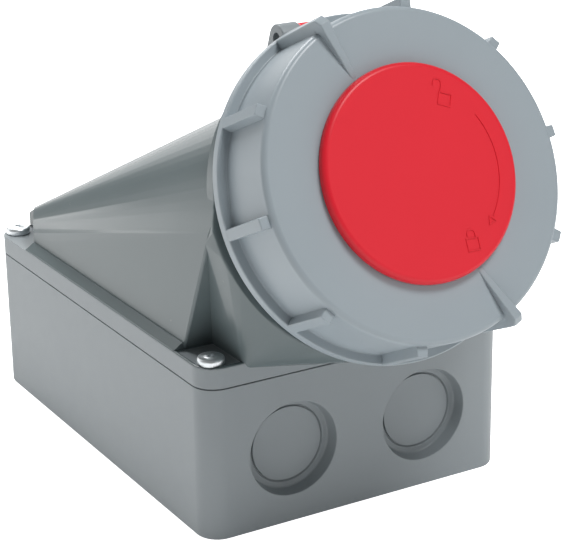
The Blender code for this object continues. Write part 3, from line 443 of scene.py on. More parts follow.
def make_back_box():
    box = as_object("back_box_shell", rounded_tray(0, 0, BOX_HEIGHT, BOX_FOOT_EDGE, BOX_RIM_EDGE))
    cut(box, rounded_tray(BOX_WALL, BOX_FLOOR, BOX_HEIGHT + MM, BOX_INNER_EDGE, 0))
    for sx, sy in FOUR_CORNERS:
        x, y = sx * SCREW_X, sy * SCREW_Y
        join(box, rod(BOSS_RADIUS, (x, y, BOX_FLOOR / 2), (x, y, BOX_HEIGHT - FIT)))
        cut(box, rod(SCREW_HOLE, (x, y, BOX_HEIGHT - SCREW_HOLE_DEPTH), (x, y, BOX_HEIGHT + MM),
                     faces=32))
        x, y = sx * FIXING_X, sy * FIXING_Y
        join(box, rod(FIXING_RADIUS, (x, y, BOX_FLOOR / 2), (x, y, BOX_FLOOR + FIXING_RISE)))
        cut(box, rod(FIXING_HOLE, (x, y, -MM), (x, y, BOX_FLOOR + FIXING_RISE + MM), faces=32))
    for x in (-ENTRY_X, ENTRY_X):
        cup = ENTRY_RADIUS + CUP_WALL
        join(box, rod(cup, (x, -HALF_LENGTH + BOX_WALL / 2, ENTRY_Z),
                      (x, -HALF_LENGTH + ENTRY_DEPTH + CUP_WALL, ENTRY_Z), tip=cup - ENTRY_TAPER))
        cut(box, entry_recess(x), entry_ring(x))
    return finish_piece(box, box_polyamide, "housing", ["back_box"])


make_back_box()

# %% [markdown]
# ## The hood cover
# The hood is a skin stretched from a rectangular foot to a round mouth. Four corners are notched
# so that a screwdriver reaches the screws. The front is made of two convex blocks with soft
# edges, a wide one behind the notches and a narrow one between them, so the ridges come out
# rounded and the inner corners crisp. The rear notches are cut out, round the screws. Along both
# sides a low shoulder leads from the skirt's edge up to the hood. The skirt has the box's duller
# surface and tone. The hood above it has a polished surface and a darker tone, which is painted
# shade: it is the same grey moulding as the skirt, coloured darker so that its slopes look shaded.

# %% Hood sizes
HOOD_SIDE, HOOD_FRONT, HOOD_BACK = HALF_WIDTH - 4.0 * MM, HALF_LENGTH - 0.4 * MM, HALF_LENGTH - 1.3 * MM
HOOD_BACK_TOP, HOOD_SHOULDER, HOOD_EDGE = COVER_TOP + 6.0 * MM, 6.0 * MM, 1.1 * MM
MOUTH_RADIUS, MOUTH_ARCH, ARCH_DROP, MOUTH_DEPTH = 56 * MM, 57 * MM, 14.4 * MM, 38.5 * MM
MOUTH_STEPS = 40
NOTCH_X, NOTCH_Y = HALF_WIDTH - 15.5 * MM, HALF_LENGTH - 21.5 * MM
NOTCH_LEAN, NOTCH_HEIGHT = 17.35 * MM, 42 * MM
REAR_NOTCH_Y, POCKET_WRAP = HALF_LENGTH - 28.3 * MM, 7.4 * MM
SHOULDER_RISE, POCKET_DEPTH, POCKET_RIM, POCKET_CORNER = 2.3 * MM, 0.5 * MM, 1.2 * MM, 6 * MM
SCREW_SEAT = COVER_TOP - POCKET_DEPTH
NECK_RADIUS, NECK_BEND, NECK_END, NECK_TAPER = 53.3 * MM, 44.0 * MM, 64.0 * MM, 13.3 * MM
NECK_EDGE, NECK_INNER_EDGE = 0.8 * MM, 0.2 * MM
HOOD_WALL, MOUTH_PLATE, SOCKET_HOLE = 3 * MM, 4 * MM, 45.0 * MM
SKIRT_EDGE, COVER_EDGE, SKIRT_INNER_EDGE = 0.25 * MM, 0.8 * MM, 0.5 * MM
HAIR, BEYOND = 0.03 * MM, 30 * MM


def socket_point(x, up, depth):
    return SOCKET @ Vector((x, up, -depth))


def mouth_outline(inset, depth):
    """Round below and a flatter arch above, as points in the part's frame."""
    radius, arch_radius = MOUTH_RADIUS - inset, MOUTH_ARCH - inset
    meet = (arch_radius ** 2 - radius ** 2 - ARCH_DROP ** 2) / (2 * ARCH_DROP)
    low_deg = math.degrees(math.asin(meet / radius))
    arch_deg = math.degrees(math.asin((meet + ARCH_DROP) / arch_radius))
    below = arc(0, 0, radius, low_deg, -180 - low_deg, MOUTH_STEPS)
    above = arc(0, -ARCH_DROP, arch_radius, 180 - arch_deg, arch_deg, MOUTH_STEPS)
    return [socket_point(x, up, depth) for x, up in below + above[1:-1]]


def hood_points(inset, foot, depth, shoulder):
    """The outline that the hood's skin is stretched over, moved inward by the inset."""
    side, front, back = HOOD_SIDE - inset, HOOD_FRONT - inset, HOOD_BACK - inset
    points = [Vector((sx * side, y, foot)) for sx in (-1, 1) for y in (-front, back)]
    top = HOOD_BACK_TOP - inset
    for sx in (-1, 1):
        quarter = arc(side - shoulder, top - shoulder, shoulder, 0, 90, 8)
        points += [Vector((sx * x, back, z)) for x, z in quarter]
    return points + mouth_outline(inset, depth)


def notch_top(inset):
    """Where a front notch ends above, beside the mouth."""
    return Vector((MOUTH_RADIUS - inset, -NOTCH_Y - NOTCH_LEAN + inset, COVER_TOP + NOTCH_HEIGHT))


def skin(points):
    bm = bmesh.new()
    for point in points:
        bm.verts.new(point)
    bmesh.ops.convex_hull(bm, input=bm.verts)
    bmesh.ops.delete(bm, geom=[v for v in bm.verts if not v.link_faces], context="VERTS")
    bmesh.ops.recalc_face_normals(bm, faces=bm.faces)
    return bm


def trimmed(points, planes):
    """The corners of the skin over some points, after cutting it by (point, normal) planes."""
    bm = skin(points)
    for point, normal in planes:
        bmesh.ops.bisect_plane(bm, geom=bm.verts[:] + bm.edges[:] + bm.faces[:], plane_co=point,
                               plane_no=normal, clear_outer=True)
    corners = [v.co.copy() for v in bm.verts]
    bm.free()
    return corners


def wide_block(inset, foot, depth, shoulder):
    """The hood behind the front notches, whose front face leans over them."""
    lean = Vector((0, -NOTCH_HEIGHT, -NOTCH_LEAN)).normalized()
    start = Vector((0, -NOTCH_Y, COVER_TOP)) - lean * inset
    return trimmed(hood_points(inset, foot, depth, shoulder), [(start, lean)])


def narrow_block(inset, foot, depth):
    """The hood's front between the notches, stretched from its foot to the mouth."""
    points = mouth_outline(inset + HAIR, depth)
    top = notch_top(inset)
    for sx in (-1, 1):
        points += [Vector((sx * (NOTCH_X - inset), y, foot))
                   for y in (-HOOD_FRONT + inset, -NOTCH_Y / 2)]
        points.append(Vector((sx * top.x, top.y, top.z)))
    return points


def rear_room(sx, grow):
    """The cutter of a rear notch: a slanting wall that wraps round the screw."""
    centre = Vector((SCREW_X, SCREW_Y))
    start = Vector((HOOD_SIDE - grow, REAR_NOTCH_Y - grow))
    radius = POCKET_WRAP + grow
    toward = math.degrees(math.atan2(start.y - centre.y, centre.x - start.x))
    touch = toward + math.degrees(math.acos(radius / (start - centre).length))
    plan = [(HALF_WIDTH + BEYOND, start.y), (start.x, start.y)]
    plan += [(centre.x - dx, centre.y + dy) for dx, dy in arc(0, 0, radius, touch, 0, 6)]
    plan += [(centre.x - radius, HALF_LENGTH + BEYOND), (HALF_WIDTH + BEYOND, HALF_LENGTH + BEYOND)]
    bm = bmesh.new()
    face = bm.faces.new([bm.verts.new((sx * x, y, SCREW_SEAT - grow)) for x, y in plan])
    lift = bmesh.ops.extrude_face_region(bm, geom=[face])
    raised = [v for v in lift["geom"] if isinstance(v, bmesh.types.BMVert)]
    bmesh.ops.translate(bm, vec=(0, 0, 2 * BEYOND), verts=raised)
    bmesh.ops.recalc_face_normals(bm, faces=bm.faces)
    return bm


def side_shoulders():
    """The low slopes along both sides, as one block whose middle lies inside the hood."""
    soft, step = 0.3 * MM, 0.35 * MM
    edge, ends = HALF_WIDTH - step - soft, (-NOTCH_Y + FIT + soft, REAR_NOTCH_Y - FIT - soft)
    section = [(edge, COVER_TOP - 2 * MM), (edge, COVER_TOP - 0.05 * MM),
               (HOOD_SIDE + 0.3 * MM, COVER_TOP + SHOULDER_RISE - soft)]
    corners = [Vector((sx * x, y, z)) for sx in (-1, 1) for y in ends for x, z in section]
    return soft_block(corners, soft)


def screw_pocket(sx, sy):
    """The cutter of the shallow pocket that a cover screw's head sits in."""
    low_x, high_x = sorted((sx * (NOTCH_X + FIT), sx * (HALF_WIDTH - POCKET_RIM)))
    low_y, high_y = sorted((sy * (NOTCH_Y + FIT), sy * (HALF_LENGTH - POCKET_RIM)))
    return rounded_block((low_x, low_y, SCREW_SEAT), (high_x, high_y, COVER_TOP + 0.4 * MM),
                         POCKET_CORNER, 0.2 * MM, 0)


def neck(inset, front):
    """The round end of the hood behind the collar's flange, which narrows into the hood."""
    radius, end = NECK_RADIUS - inset, NECK_RADIUS - NECK_TAPER - inset
    soft = NECK_INNER_EDGE if inset else NECK_EDGE
    outline = [(0, -front), *arc(radius - soft, -front - soft, soft, 90, 0, 4), (radius, -NECK_BEND),
               (end, -NECK_END), (0, -NECK_END)]
    return moved(turn(outline, closed=False, steps=96), SOCKET)


# %% Hood cover


def make_hood_cover():
    cover = as_object("hood_cover_shell",
                      rounded_tray(0, COVER_BOTTOM, COVER_TOP, SKIRT_EDGE, COVER_EDGE))
    cut(cover, rounded_tray(BOX_WALL, COVER_BOTTOM - MM, COVER_TOP - COVER_PLATE, 0, SKIRT_INNER_EDGE))
    foot, edge = COVER_TOP - 1.5 * MM, HOOD_EDGE
    join(cover, side_shoulders(),
         soft_block(wide_block(edge, foot, MOUTH_DEPTH + edge + 2 * HAIR, HOOD_SHOULDER), edge),
         soft_block(narrow_block(edge, foot - HAIR, MOUTH_DEPTH + edge), edge),
         neck(0, MOUTH_DEPTH + 0.1 * MM))
    foot, wall, front = COVER_TOP + COVER_PLATE - 0.5 * MM, HOOD_WALL, MOUTH_DEPTH + MOUTH_PLATE
    hollow = as_object("hood_hollow", skin(wide_block(wall, foot, front + 2 * HAIR, 3 * MM)))
    cut(hollow, rear_room(-1, wall), rear_room(1, wall))
    join(hollow, skin(narrow_block(wall, foot - HAIR, front)), neck(wall, front + 0.1 * MM),
         rounded_block((-NOTCH_X + wall, -HOOD_FRONT + wall, COVER_BOTTOM - MM),
                       (NOTCH_X - wall, HOOD_BACK - wall - 2 * HAIR, foot + 0.2 * MM), 2 * MM, 0, 0))
    hole = bmesh.new()
    hole.from_mesh(hollow.data)
    bpy.data.objects.remove(hollow)
    cut(cover, hole, rear_room(-1, 0), rear_room(1, 0))
    for sx, sy in FOUR_CORNERS:
        cut(cover, screw_pocket(sx, sy))
    flare, reach = 0.4 * MM, 12 * MM
    socket_hole = [(0, -MOUTH_DEPTH + MM), (SOCKET_HOLE + flare, -MOUTH_DEPTH + MM),
                   (SOCKET_HOLE + flare, -MOUTH_DEPTH), (SOCKET_HOLE, -MOUTH_DEPTH - flare),
                   (SOCKET_HOLE, -MOUTH_DEPTH - reach), (0, -MOUTH_DEPTH - reach)]
    cut(cover, moved(turn(socket_hole, closed=False, steps=96), SOCKET))
    for sx, sy in FOUR_CORNERS:
        x, y = sx * SCREW_X, sy * SCREW_Y
        cut(cover, rod(SCREW_HOLE, (x, y, COVER_BOTTOM - MM), (x, y, COVER_TOP + MM), faces=32))
    finish_piece(cover, hood_painted_shade_polyamide, "housing", ["hood_cover"])
    # Every face first takes the hood's painted-shade colour. The skirt's faces below the cover's top then
    # go back to the box's plastic.
    cover.data.materials.append(box_polyamide)
    for face in cover.data.polygons:
        if max(cover.data.vertices[i].co.z for i in face.vertices) < COVER_TOP - 0.3 * MM:
            face.material_index = 1
    return cover


make_hood_cover()

# %% [markdown]
# ## Pan-head screws
# Four bright screws hold the cover. A pan head is a low dome with a rounded rim, and the cross
# recess tapers as it goes down, which is why it catches light on four small slopes.

# %% Cover screws
SCREW_HEAD, SCREW_HEAD_HEIGHT, SCREW_SHANK = 4.7 * MM, 3.0 * MM, 2.4 * MM
SCREW_LENGTH, HEAD_LIFT = 22 * MM, 0.1 * MM
CROSS_REACH, CROSS_WIDTH, CROSS_DEPTH = 2.6 * MM, 1.1 * MM, 1.6 * MM
FIRST_TWIST_DEG, NEXT_TWIST_DEG = 25, 40


def pan_head(radius, height, shank, seat, length):
    """A screw about Z: a domed head whose underside lies at the seat."""
    dome_edge = height * 0.45
    top = seat + height
    outline = [(0, top), *arc(0, top - radius * 1.6, radius * 1.6, 90, 68, 5)[1:],
               *arc(radius - dome_edge, seat + height * 0.5, dome_edge, 50, 0, 4),
               (radius, seat + 0.25 * MM), (radius - 0.25 * MM, seat), (shank, seat),
               (shank, seat - length + shank), (shank / 2, seat - length), (0, seat - length)]
    return turn(outline, closed=False, steps=40)


def cross_slot(top, turned_deg):
    """One bar of the cross recess, narrower at its floor."""
    bm = bmesh.new()
    bmesh.ops.create_cube(bm, size=1.0)
    bmesh.ops.scale(bm, vec=(2 * CROSS_REACH, CROSS_WIDTH, 2 * CROSS_DEPTH), verts=bm.verts)
    floor = [v for v in bm.verts if v.co.z < 0]
    bmesh.ops.scale(bm, vec=(0.35, 0.6, 1), verts=floor)
    bmesh.ops.rotate(bm, cent=(0, 0, 0), matrix=Matrix.Rotation(math.radians(turned_deg), 3, "Z"),
                     verts=bm.verts)
    bmesh.ops.translate(bm, vec=(0, 0, top), verts=bm.verts)
    return bm


def make_cover_screws():
    for index, (sx, sy) in enumerate(FOUR_CORNERS):
        seat = SCREW_SEAT + HEAD_LIFT
        head_top, twist = seat + SCREW_HEAD_HEIGHT, FIRST_TWIST_DEG + NEXT_TWIST_DEG * index
        screw = as_object(f"cover_screw_bright_{index + 1}",
                          pan_head(SCREW_HEAD, SCREW_HEAD_HEIGHT, SCREW_SHANK, seat, SCREW_LENGTH))
        cut(screw, cross_slot(head_top, twist), cross_slot(head_top, twist + 90))
        screw.data.transform(Matrix.Translation((sx * SCREW_X, sy * SCREW_Y, 0)))
        finish_piece(screw, zinc_plate, "housing", [f"cover_screw_{index + 1}"])


make_cover_screws()

# %% [markdown]
# ## The socket collar
# A tube that the plug slides into, with a flange that screws onto the hood's mouth and two lugs
# that carry the hinge. Only a lug shows while the lid is shut.

# %% Collar
TUBE_RADIUS, TUBE_WALL, TUBE_FRONT, TUBE_BACK = 44.5 * MM, 4 * MM, 11.3 * MM, 50 * MM
TUBE_BORE, LEDGE_BORE, LEDGE_FRONT = TUBE_RADIUS - TUBE_WALL, 29.5 * MM, 46 * MM
FLANGE_BACK, FLANGE_FRONT = MOUTH_DEPTH - FIT, MOUTH_DEPTH - FIT - 5 * MM
PIN_RADIUS, LUG_RADIUS, LUG_INNER, LUG_WIDTH = 2 * MM, 5.1 * MM, 12.3 * MM, 7.7 * MM
LUG_HEEL_DEPTH, LUG_HEEL_UP, KNUCKLE_RADIUS = 43.5 * MM, 52.9 * MM, 4.4 * MM
PIN_HALF, KEYWAY_HALF, KEYWAY_DEPTH = 17 * MM, 4.5 * MM, 2 * MM
CAM_FRONT, CAM_THICKNESS, CAM_RADIUS = 17 * MM, 5 * MM, 48.5 * MM
CAM_PLACES_DEG, CAM_WIDTH_DEG = (-40, 140), 24
COLLAR_EDGE, LUG_EDGE = 0.9 * MM, 0.7 * MM


def sector(inner, outer, front, back, middle_deg, width_deg):
    """A piece of a ring, between two depths and round a middle angle."""
    outline = [(inner, -back), (outer, -back), (outer, -front), (inner, -front)]
    return turn(outline, steps=12, angle=width_deg, start=middle_deg - width_deg / 2)


def cross_pin(radius, half_length):
    """A rod along X at the hinge."""
    pin = (HINGE_UP, -HINGE_DEPTH)
    return rod(radius, (-half_length, *pin), (half_length, *pin))


def hinge_lug(sx):
    """An eye round the pin on a foot that widens to the back."""
    edge, corners = LUG_EDGE, []
    for x in (sx * (LUG_INNER + edge), sx * (LUG_INNER + LUG_WIDTH - edge)):
        corners += [Vector((x, HINGE_UP + y, -HINGE_DEPTH + z))
                    for y, z in arc(0, 0, LUG_RADIUS - edge, 0, 345, 23)]
        corners += [Vector((x, HINGE_UP - LUG_RADIUS + edge, -FLANGE_FRONT - edge)),
                    Vector((x, HINGE_UP - LUG_RADIUS + edge, -FLANGE_BACK + edge)),
                    Vector((x, LUG_HEEL_UP - edge, -LUG_HEEL_DEPTH + edge))]
    lug = as_object("lug", soft_block(corners, edge))
    cut(lug, rod(NECK_RADIUS + FIT, (0, 0, -FLANGE_BACK + 0.1 * MM), (0, 0, -90 * MM), faces=128))
    bm = bmesh.new()
    bm.from_mesh(lug.data)
    bpy.data.objects.remove(lug)
    return bm


def make_collar():
    edge = COLLAR_EDGE
    outline = [(TUBE_BORE, -TUBE_FRONT - edge),
               *arc(TUBE_BORE + edge, -TUBE_FRONT - edge, edge, 180, 90, 4),
               *arc(TUBE_RADIUS - edge, -TUBE_FRONT - edge, edge, 90, 0, 4),
               (TUBE_RADIUS, -FLANGE_FRONT),
               *arc(NECK_RADIUS - edge, -FLANGE_FRONT - edge, edge, 90, 0, 4),
               (NECK_RADIUS, -FLANGE_BACK), (TUBE_RADIUS, -FLANGE_BACK), (TUBE_RADIUS, -TUBE_BACK),
               (LEDGE_BORE, -TUBE_BACK), (LEDGE_BORE, -LEDGE_FRONT), (TUBE_BORE, -LEDGE_FRONT)]
    collar = as_object("socket_collar_tube", turn(outline))
    for middle in CAM_PLACES_DEG:
        join(collar, sector(TUBE_RADIUS - TUBE_WALL / 2, CAM_RADIUS, CAM_FRONT,
                            CAM_FRONT + CAM_THICKNESS, middle, CAM_WIDTH_DEG))
    join(collar, hinge_lug(-1), hinge_lug(1))
    slot_floor = HINGE_UP - KNUCKLE_RADIUS - 0.5 * MM
    slot_half = LUG_INNER - 0.1 * MM
    cut(collar, soft_box((-slot_half, slot_floor, -MOUTH_DEPTH - MM),
                         (slot_half, HINGE_UP + 9 * MM, -FLANGE_FRONT + MM), 0.3 * MM, 1))
    cut(collar, cross_pin(PIN_RADIUS + FIT, 30 * MM))
    cut(collar, soft_box((-KEYWAY_HALF, -TUBE_BORE - KEYWAY_DEPTH, -LEDGE_FRONT),
                         (KEYWAY_HALF, -LEDGE_BORE, -TUBE_FRONT + 2 * MM), 0.4 * MM, 1))
    collar.data.transform(SOCKET)
    return finish_piece(collar, box_polyamide, "housing", ["socket_collar"])


def make_hinge_pin():
    pin = as_object("hinge_pin_steel", cross_pin(PIN_RADIUS, PIN_HALF))
    pin.data.transform(SOCKET)
    return finish_piece(pin, zinc_plate, "housing", ["hinge_pin"])


make_collar()
make_hinge_pin()

# %% [markdown]
# ## The lid
# One red moulding. From outside only its disc shows, standing a little proud in the ring's
# opening; behind the ring it widens to a sealing plate, and an arm runs back to the hinge.

# %% Lid
DISC_RADIUS, DISC_PROUD, DISC_EDGE = 35.7 * MM, 3.5 * MM, 1.9 * MM
HUB_RADIUS, LID_FRONT, LID_BACK, LID_RADIUS = 32.8 * MM, 4.6 * MM, 8.3 * MM, 50 * MM
LID_SKIN, LID_RIM_EDGE, LID_RIB_HALF = 3 * MM, 0.6 * MM, 1 * MM
ARM_HALF, ARM_OUTER, ARM_THICKNESS, ARM_FRONT = 11.7 * MM, 50.4 * MM, 3.6 * MM, 28.9 * MM


def make_lid():
    edge, rim, bore, inside = DISC_EDGE, LID_RIM_EDGE, HUB_RADIUS - LID_SKIN, DISC_PROUD - LID_SKIN
    outline = [(0, DISC_PROUD), *arc(DISC_RADIUS - edge, DISC_PROUD - edge, edge, 90, 0, 7),
               (DISC_RADIUS, 0.5 * MM), (DISC_RADIUS - 0.2 * MM, FIT), (HUB_RADIUS, FIT),
               (HUB_RADIUS, -LID_FRONT), *arc(LID_RADIUS - rim, -LID_FRONT - rim, rim, 90, 0, 3),
               *arc(LID_RADIUS - rim, -LID_BACK + rim, rim, 0, -90, 3), (bore, -LID_BACK),
               (bore, inside), (0, inside)]
    lid = as_object("lid_red", turn(outline, closed=False, steps=144))
    reach, top, half, soft = bore + LID_SKIN / 2, DISC_PROUD - LID_SKIN / 2, LID_RIB_HALF, 0.3 * MM
    join(lid, soft_box((-reach, -half, -LID_BACK + FIT), (reach, half, top), soft, 1),
         soft_box((-half, -reach, -LID_BACK + 2 * FIT), (half, reach, top - FIT), soft, 1))
    arm_back = HINGE_DEPTH - PIN_RADIUS - FIT
    width_deg = 2 * math.degrees(math.asin((ARM_HALF - FIT) / ARM_OUTER))
    join(lid, sector(ARM_OUTER - ARM_THICKNESS, ARM_OUTER, LID_BACK - ARM_THICKNESS / 2, arm_back,
                     90, width_deg))
    join(lid, soft_box((-ARM_HALF, ARM_OUTER - ARM_THICKNESS - FIT, -arm_back + FIT),
                       (ARM_HALF, HINGE_UP + MM, -ARM_FRONT), 0.8 * MM))
    half, soft = ARM_HALF + FIT, LUG_EDGE
    knuckle = [(0, half), *arc(KNUCKLE_RADIUS - soft, half - soft, soft, 90, 0, 4),
               *arc(KNUCKLE_RADIUS - soft, -half + soft, soft, 0, -90, 4), (0, -half)]
    place = Matrix.Translation((0, HINGE_UP, -HINGE_DEPTH)) @ Matrix.Rotation(math.radians(90), 4, "Y")
    join(lid, moved(turn(knuckle, closed=False, steps=48), place))
    cut(lid, cross_pin(PIN_RADIUS + FIT, 20 * MM))
    lid.data.transform(SOCKET)
    return finish_piece(lid, lid_polyamide, "lid", ["lid"])


make_lid()

# %% [markdown]
# ## Raised marks on the lid
# The mould leaves low marks on the disc: an arc with an arrow that says which way the ring turns,
# and an open and a closed padlock at its ends. They stand a quarter of a millimetre proud.
# Each is a small four-cornered section set up at every point of a path, with faces from one
# section to the next. Bridging would do it too, but it twists the section at a sharp corner.

# %% Lid marks
MARK_PROUD, MARK_SUNK, MARK_WIDTH, MARK_TOP = 0.25 * MM, 0.15 * MM, 0.55 * MM, 0.8
TURN_ARC, TURN_FROM_DEG, TURN_TO_DEG = 28.7 * MM, 32.0, -39.0
ARROW_BASE_DEG, ARROW_TIP_DEG, ARROW_HALF = -41.0, -46.0, 1.5 * MM
LOCK_HALF_WIDTH, LOCK_HALF_HEIGHT, LOCK_BOW, LOCK_GAP = 2.3 * MM, 2.0 * MM, 1.5 * MM, 0.2 * MM


def ribbon(path, closed=False):
    """A low bar along a path on the disc, sunk a little into it and narrower on top."""
    path = [Vector((x, y, 0)) for x, y in path]
    low, high = DISC_PROUD - MARK_SUNK, DISC_PROUD + MARK_PROUD
    bm = bmesh.new()
    sections = []
    for i, point in enumerate(path):
        before = path[i - 1] if i or closed else point
        after = path[(i + 1) % len(path)] if i + 1 < len(path) or closed else point
        along = (after - before).normalized()
        side = Vector((-along.y, along.x, 0)) * (MARK_WIDTH / 2)
        sections.append([bm.verts.new(point + side * share + Vector((0, 0, height))) for share, height
                         in ((-1, low), (1, low), (MARK_TOP, high), (-MARK_TOP, high))])
    following = sections[1:] + sections[:1] if closed else sections[1:]
    for here, ahead in zip(sections, following):
        for i in range(4):
            j = (i + 1) % 4
            bm.faces.new((here[i], here[j], ahead[j], ahead[i]))
    if not closed:
        for end in (sections[0], sections[-1]):
            bm.faces.new(end)
    bmesh.ops.recalc_face_normals(bm, faces=bm.faces)
    return bm


def lay_mark(name, path, closed=False):
    mark = as_object(name, ribbon(path, closed))
    mark.data.transform(SOCKET)
    finish_piece(mark, lid_polyamide, "lid")


def padlock(name, x, y, turned_deg, lift, slide):
    """A padlock's outline: a body and a shackle, which an open one lifts and slides aside."""
    wide, high, bow, foot = LOCK_HALF_WIDTH, LOCK_HALF_HEIGHT, LOCK_BOW, LOCK_HALF_HEIGHT + LOCK_GAP
    body = [(-wide, -high), (wide, -high), (wide, high), (-wide, high)]
    shackle = [(slide + bow, foot), *arc(slide, high + lift, bow, 0, 180, 8),
               (slide - bow, foot + lift / 2)]
    turned = Matrix.Rotation(math.radians(turned_deg), 2)
    for part, path, closed in (("body", body, True), ("shackle", shackle, False)):
        lay_mark(f"{name}_{part}", [turned @ Vector(point) + Vector((x, y)) for point in path], closed)


def make_lid_marks():
    lay_mark("lid_turn_arc", arc(0, 0, TURN_ARC, TURN_FROM_DEG, TURN_TO_DEG, 32))
    corners = ((-ARROW_HALF, ARROW_BASE_DEG), (ARROW_HALF, ARROW_BASE_DEG), (0, ARROW_TIP_DEG))
    lay_mark("lid_turn_arrow", [arc(0, 0, TURN_ARC + shift, degrees, degrees, 1)[0]
                                for shift, degrees in corners], closed=True)
    padlock("lid_padlock_open", 14.0 * MM, 21.5 * MM, -22.0, 2.6 * MM, -3.4 * MM)
    padlock("lid_padlock_closed", 12.2 * MM, -25.7 * MM, 0.0, 1.4 * MM, 0.0)


make_lid_marks()

# %% [markdown]
# ## The bayonet ring
# The ring turns on the lid and pulls it tight with cams inside. Ten ribs give the hand a grip;
# two opposite ones rise over the face as long wedges, and one of them stands at the closed
# padlock while the ring is locked.

# %% Ring
RING_RADIUS, RING_DRAFT, RING_WALL, RING_FACE = 54.8 * MM, 0.4 * MM, 3.5 * MM, 4.3 * MM
RING_EDGE, RIM_RADIUS, RIM_FRONT, RIM_THICKNESS = 2.0 * MM, 58.6 * MM, 24.4 * MM, 3.9 * MM
RING_HOLE, SKIRT_BORE = HUB_RADIUS + 0.5 * MM, RING_RADIUS - RING_WALL
RIM_BACK = RIM_FRONT + RIM_THICKNESS
RIB_COUNT, RIB_FIRST_DEG, POINTERS = 10, 6.0, (3, 8)
RIB_WIDTH, RIB_START, RIB_EDGE = 4.5 * MM, 2.2 * MM, 0.45 * MM
RIB_TAPER, POINTER_TAPER, POINTER_CHAMFER = 0.86, 0.9, 2.2 * MM
POINTER_WIDTH, POINTER_TIP_WIDTH, POINTER_RISE = 4.2 * MM, 2.0 * MM, 3.4 * MM
LOCK_CAM_BORE, LOCK_CAM_FRONT, LOCK_CAM_BACK = 46.5 * MM, 22.3 * MM, 26.5 * MM
LOCK_CAM_PLACES_DEG, LOCK_CAM_WIDTH_DEG = (0, 180), 20


def rib_block(section, edge):
    """A rib from its section: (radius, height, width) at each corner, edges rounded."""
    corners = []
    for radius, height, width in section:
        corners += [Vector((radius, sy * (width / 2 - edge), height)) for sy in (-1, 1)]
    return soft_block(corners, edge)


def grip_rib(front, start_radius):
    """The side rib, from the face's edge back to the rim."""
    edge, back, narrow = RIB_EDGE, -RIM_FRONT - RIM_THICKNESS / 2, RIB_WIDTH * RIB_TAPER
    root, outer = RING_RADIUS - RING_WALL / 2, RIM_RADIUS - edge - 0.05 * MM
    return rib_block([(root, front - edge, RIB_WIDTH), (start_radius - edge, front - edge, narrow),
                      (outer, -RIM_FRONT, narrow), (outer, back, narrow), (root, back, RIB_WIDTH)], edge)


def pointer_wedge():
    """The rib on the face, which rises from the disc to the ring's edge."""
    edge, narrow = RIB_EDGE, POINTER_WIDTH * POINTER_TAPER
    start, end = DISC_RADIUS + 0.5 * MM + edge, RIM_RADIUS - edge - 0.1 * MM
    return rib_block([(start, -MM, POINTER_TIP_WIDTH), (start, 0.15 * MM - edge, POINTER_TIP_WIDTH),
                      (end - 2 * MM, POINTER_RISE - edge, narrow),
                      (end, POINTER_RISE - POINTER_CHAMFER, narrow), (end, -2 * MM, POINTER_WIDTH)], edge)


def make_ring():
    edge, rim, lip, root, mouth = RING_EDGE, 0.6 * MM, 0.4 * MM, 0.5 * MM, 0.3 * MM
    side = RING_RADIUS + RING_DRAFT
    outline = [(RING_HOLE, -lip), *arc(RING_HOLE + lip, -lip, lip, 180, 90, 3),
               *arc(RING_RADIUS - edge, -edge, edge, 90, 0, 8),
               *arc(side + root, -RIM_FRONT + root, root, 180, 270, 4),
               *arc(RIM_RADIUS - rim, -RIM_FRONT - rim, rim, 90, 0, 4),
               *arc(RIM_RADIUS - rim, -RIM_BACK + rim, rim, 0, -90, 4),
               *arc(SKIRT_BORE + mouth, -RIM_BACK + mouth, mouth, -90, -180, 2),
               (SKIRT_BORE, -RING_FACE), (RING_HOLE, -RING_FACE)]
    ring = as_object("bayonet_ring_grip", turn(outline, steps=180))
    for index in range(RIB_COUNT):
        place = Matrix.Rotation(math.radians(RIB_FIRST_DEG + 360 * index / RIB_COUNT), 4, "Z")
        if index in POINTERS:
            join(ring, moved(grip_rib(-MM, RIM_RADIUS), place), moved(pointer_wedge(), place))
        else:
            join(ring, moved(grip_rib(-RIB_START, RIM_RADIUS - 0.4 * MM), place))
    for middle in LOCK_CAM_PLACES_DEG:
        join(ring, sector(LOCK_CAM_BORE, SKIRT_BORE + RING_WALL / 2, LOCK_CAM_FRONT, LOCK_CAM_BACK,
                          middle, LOCK_CAM_WIDTH_DEG))
    ring.data.transform(SOCKET)
    return finish_piece(ring, ring_polyamide, "ring", ["bayonet_ring"])


make_ring()

# %% [markdown]
# ## Pieces whose construction shape is already right
# The insert's two halves, the contacts, seals and inner screws keep their construction meshes.
# They only need their finish.

# %% Finishes on the carried-over nodes


def paint_nodes():
    finishes = {"contact_face": insert_thermoset, "contact_carrier": insert_thermoset}
    for name in frame["nodes"]:
        if "seal" in name:
            finishes[name] = rubber
        elif "screw" in name or name == "hinge_pin":
            finishes[name] = zinc_plate
        elif name.startswith("contact_") and name not in finishes:
            finishes[name] = turned_brass
    for name, material in finishes.items():
        node = frame["nodes"][name]
        node.data.materials.clear()
        node.data.materials.append(material)
    print("finishes given:", len(finishes))


paint_nodes()

# %% [markdown]
# ## Floor and light
# A pale sweep and soft round lights, as in a catalogue. One low on the left lights the long
# side, one behind and one in front light the tops and the ring's face from above, so the ring
# throws a soft shadow on the box, and two weak ones keep the front and the ring's edge open. The
# last one is seen only in glossy surfaces, where it draws the bright line along the hood's back.

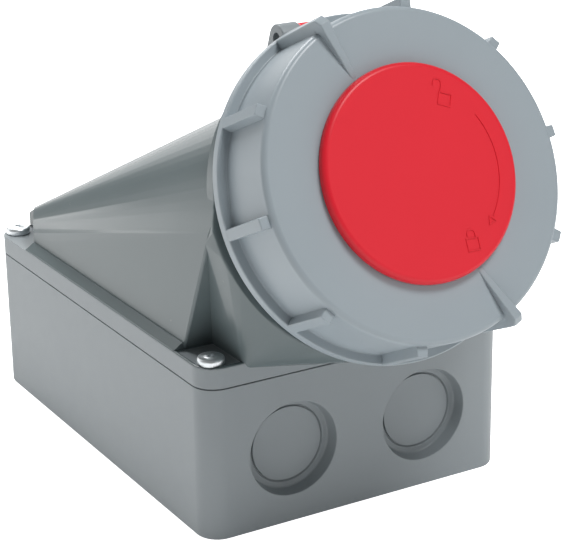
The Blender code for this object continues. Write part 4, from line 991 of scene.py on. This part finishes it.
# %% Studio
# Each light: its name, place, width in metres, power in watts, and whether it is only mirrored.
LIGHTS = [("key", (-0.75, 0.85, 0.25), 1.0, 2.3, False),
          ("top", (-0.1, 0.85, 1.25), 0.9, 16.5, False),
          ("front", (0.3, -0.7, 1.5), 0.6, 16.5, False),
          ("fill", (0.6, -1.2, 0.6), 0.8, 1.5, False),
          ("edge", (-1.25, -0.5, 0.42), 0.16, 0.3, False),
          ("sheen", (0.5, 1.3, 0.36), 1.0, 2.6, True)]
LIGHTS_AIM = Vector((0, -0.03, 0.08))
SURROUND, FLOOR_GLOW, PAPER_WHITE = 0.16, 0.30, 1.2


def soft_light(name, place, size, power, only_mirrored):
    light = bpy.data.lights.new(name, "AREA")
    light.shape, light.size, light.energy = "DISK", size, power
    lamp = bpy.data.objects.new(name, light)
    lamp.visible_diffuse = not only_mirrored
    lamp.location = place
    lamp.rotation_euler = (Vector(place) - LIGHTS_AIM).to_track_quat("Z", "Y").to_euler()
    bpy.context.scene.collection.objects.link(lamp)


def glow_for_camera(tree, strength, level):
    """White to the camera, as in a cut-out picture, and a softer glow to everything else."""
    rays = add(tree, "ShaderNodeLightPath")
    glow = add(tree, "ShaderNodeMapRange", {"To Min": level, "To Max": PAPER_WHITE},
               {"Value": (rays, "Is Camera Ray")})
    tree.links.new(glow.outputs["Result"], strength)


def make_studio():
    bm = bmesh.new()
    bmesh.ops.create_grid(bm, x_segments=1, y_segments=1, size=6.0)
    bmesh.ops.translate(bm, vec=(0, 0, -0.2 * MM), verts=bm.verts)
    floor = as_object("floor", bm)
    material, tree, shader, _ = start_material("pale_paper_sweep")
    shader.inputs["Base Color"].default_value = linear("#f4f4f4")
    shader.inputs["Roughness"].default_value = 0.9
    shader.inputs["Emission Color"].default_value = (1, 1, 1, 1)
    glow_for_camera(tree, shader.inputs["Emission Strength"], FLOOR_GLOW)
    floor.data.materials.append(material)
    for light in LIGHTS:
        soft_light(*light)
    world = bpy.data.worlds.new("studio")
    world.use_nodes = True
    sky = world.node_tree.nodes["Background"]
    sky.inputs["Color"].default_value = (1, 1, 1, 1)
    glow_for_camera(world.node_tree, sky.inputs["Strength"], SURROUND)
    bpy.context.scene.world = world
    bpy.context.scene.view_settings.view_transform = "Standard"
    print("studio ready")


make_studio()
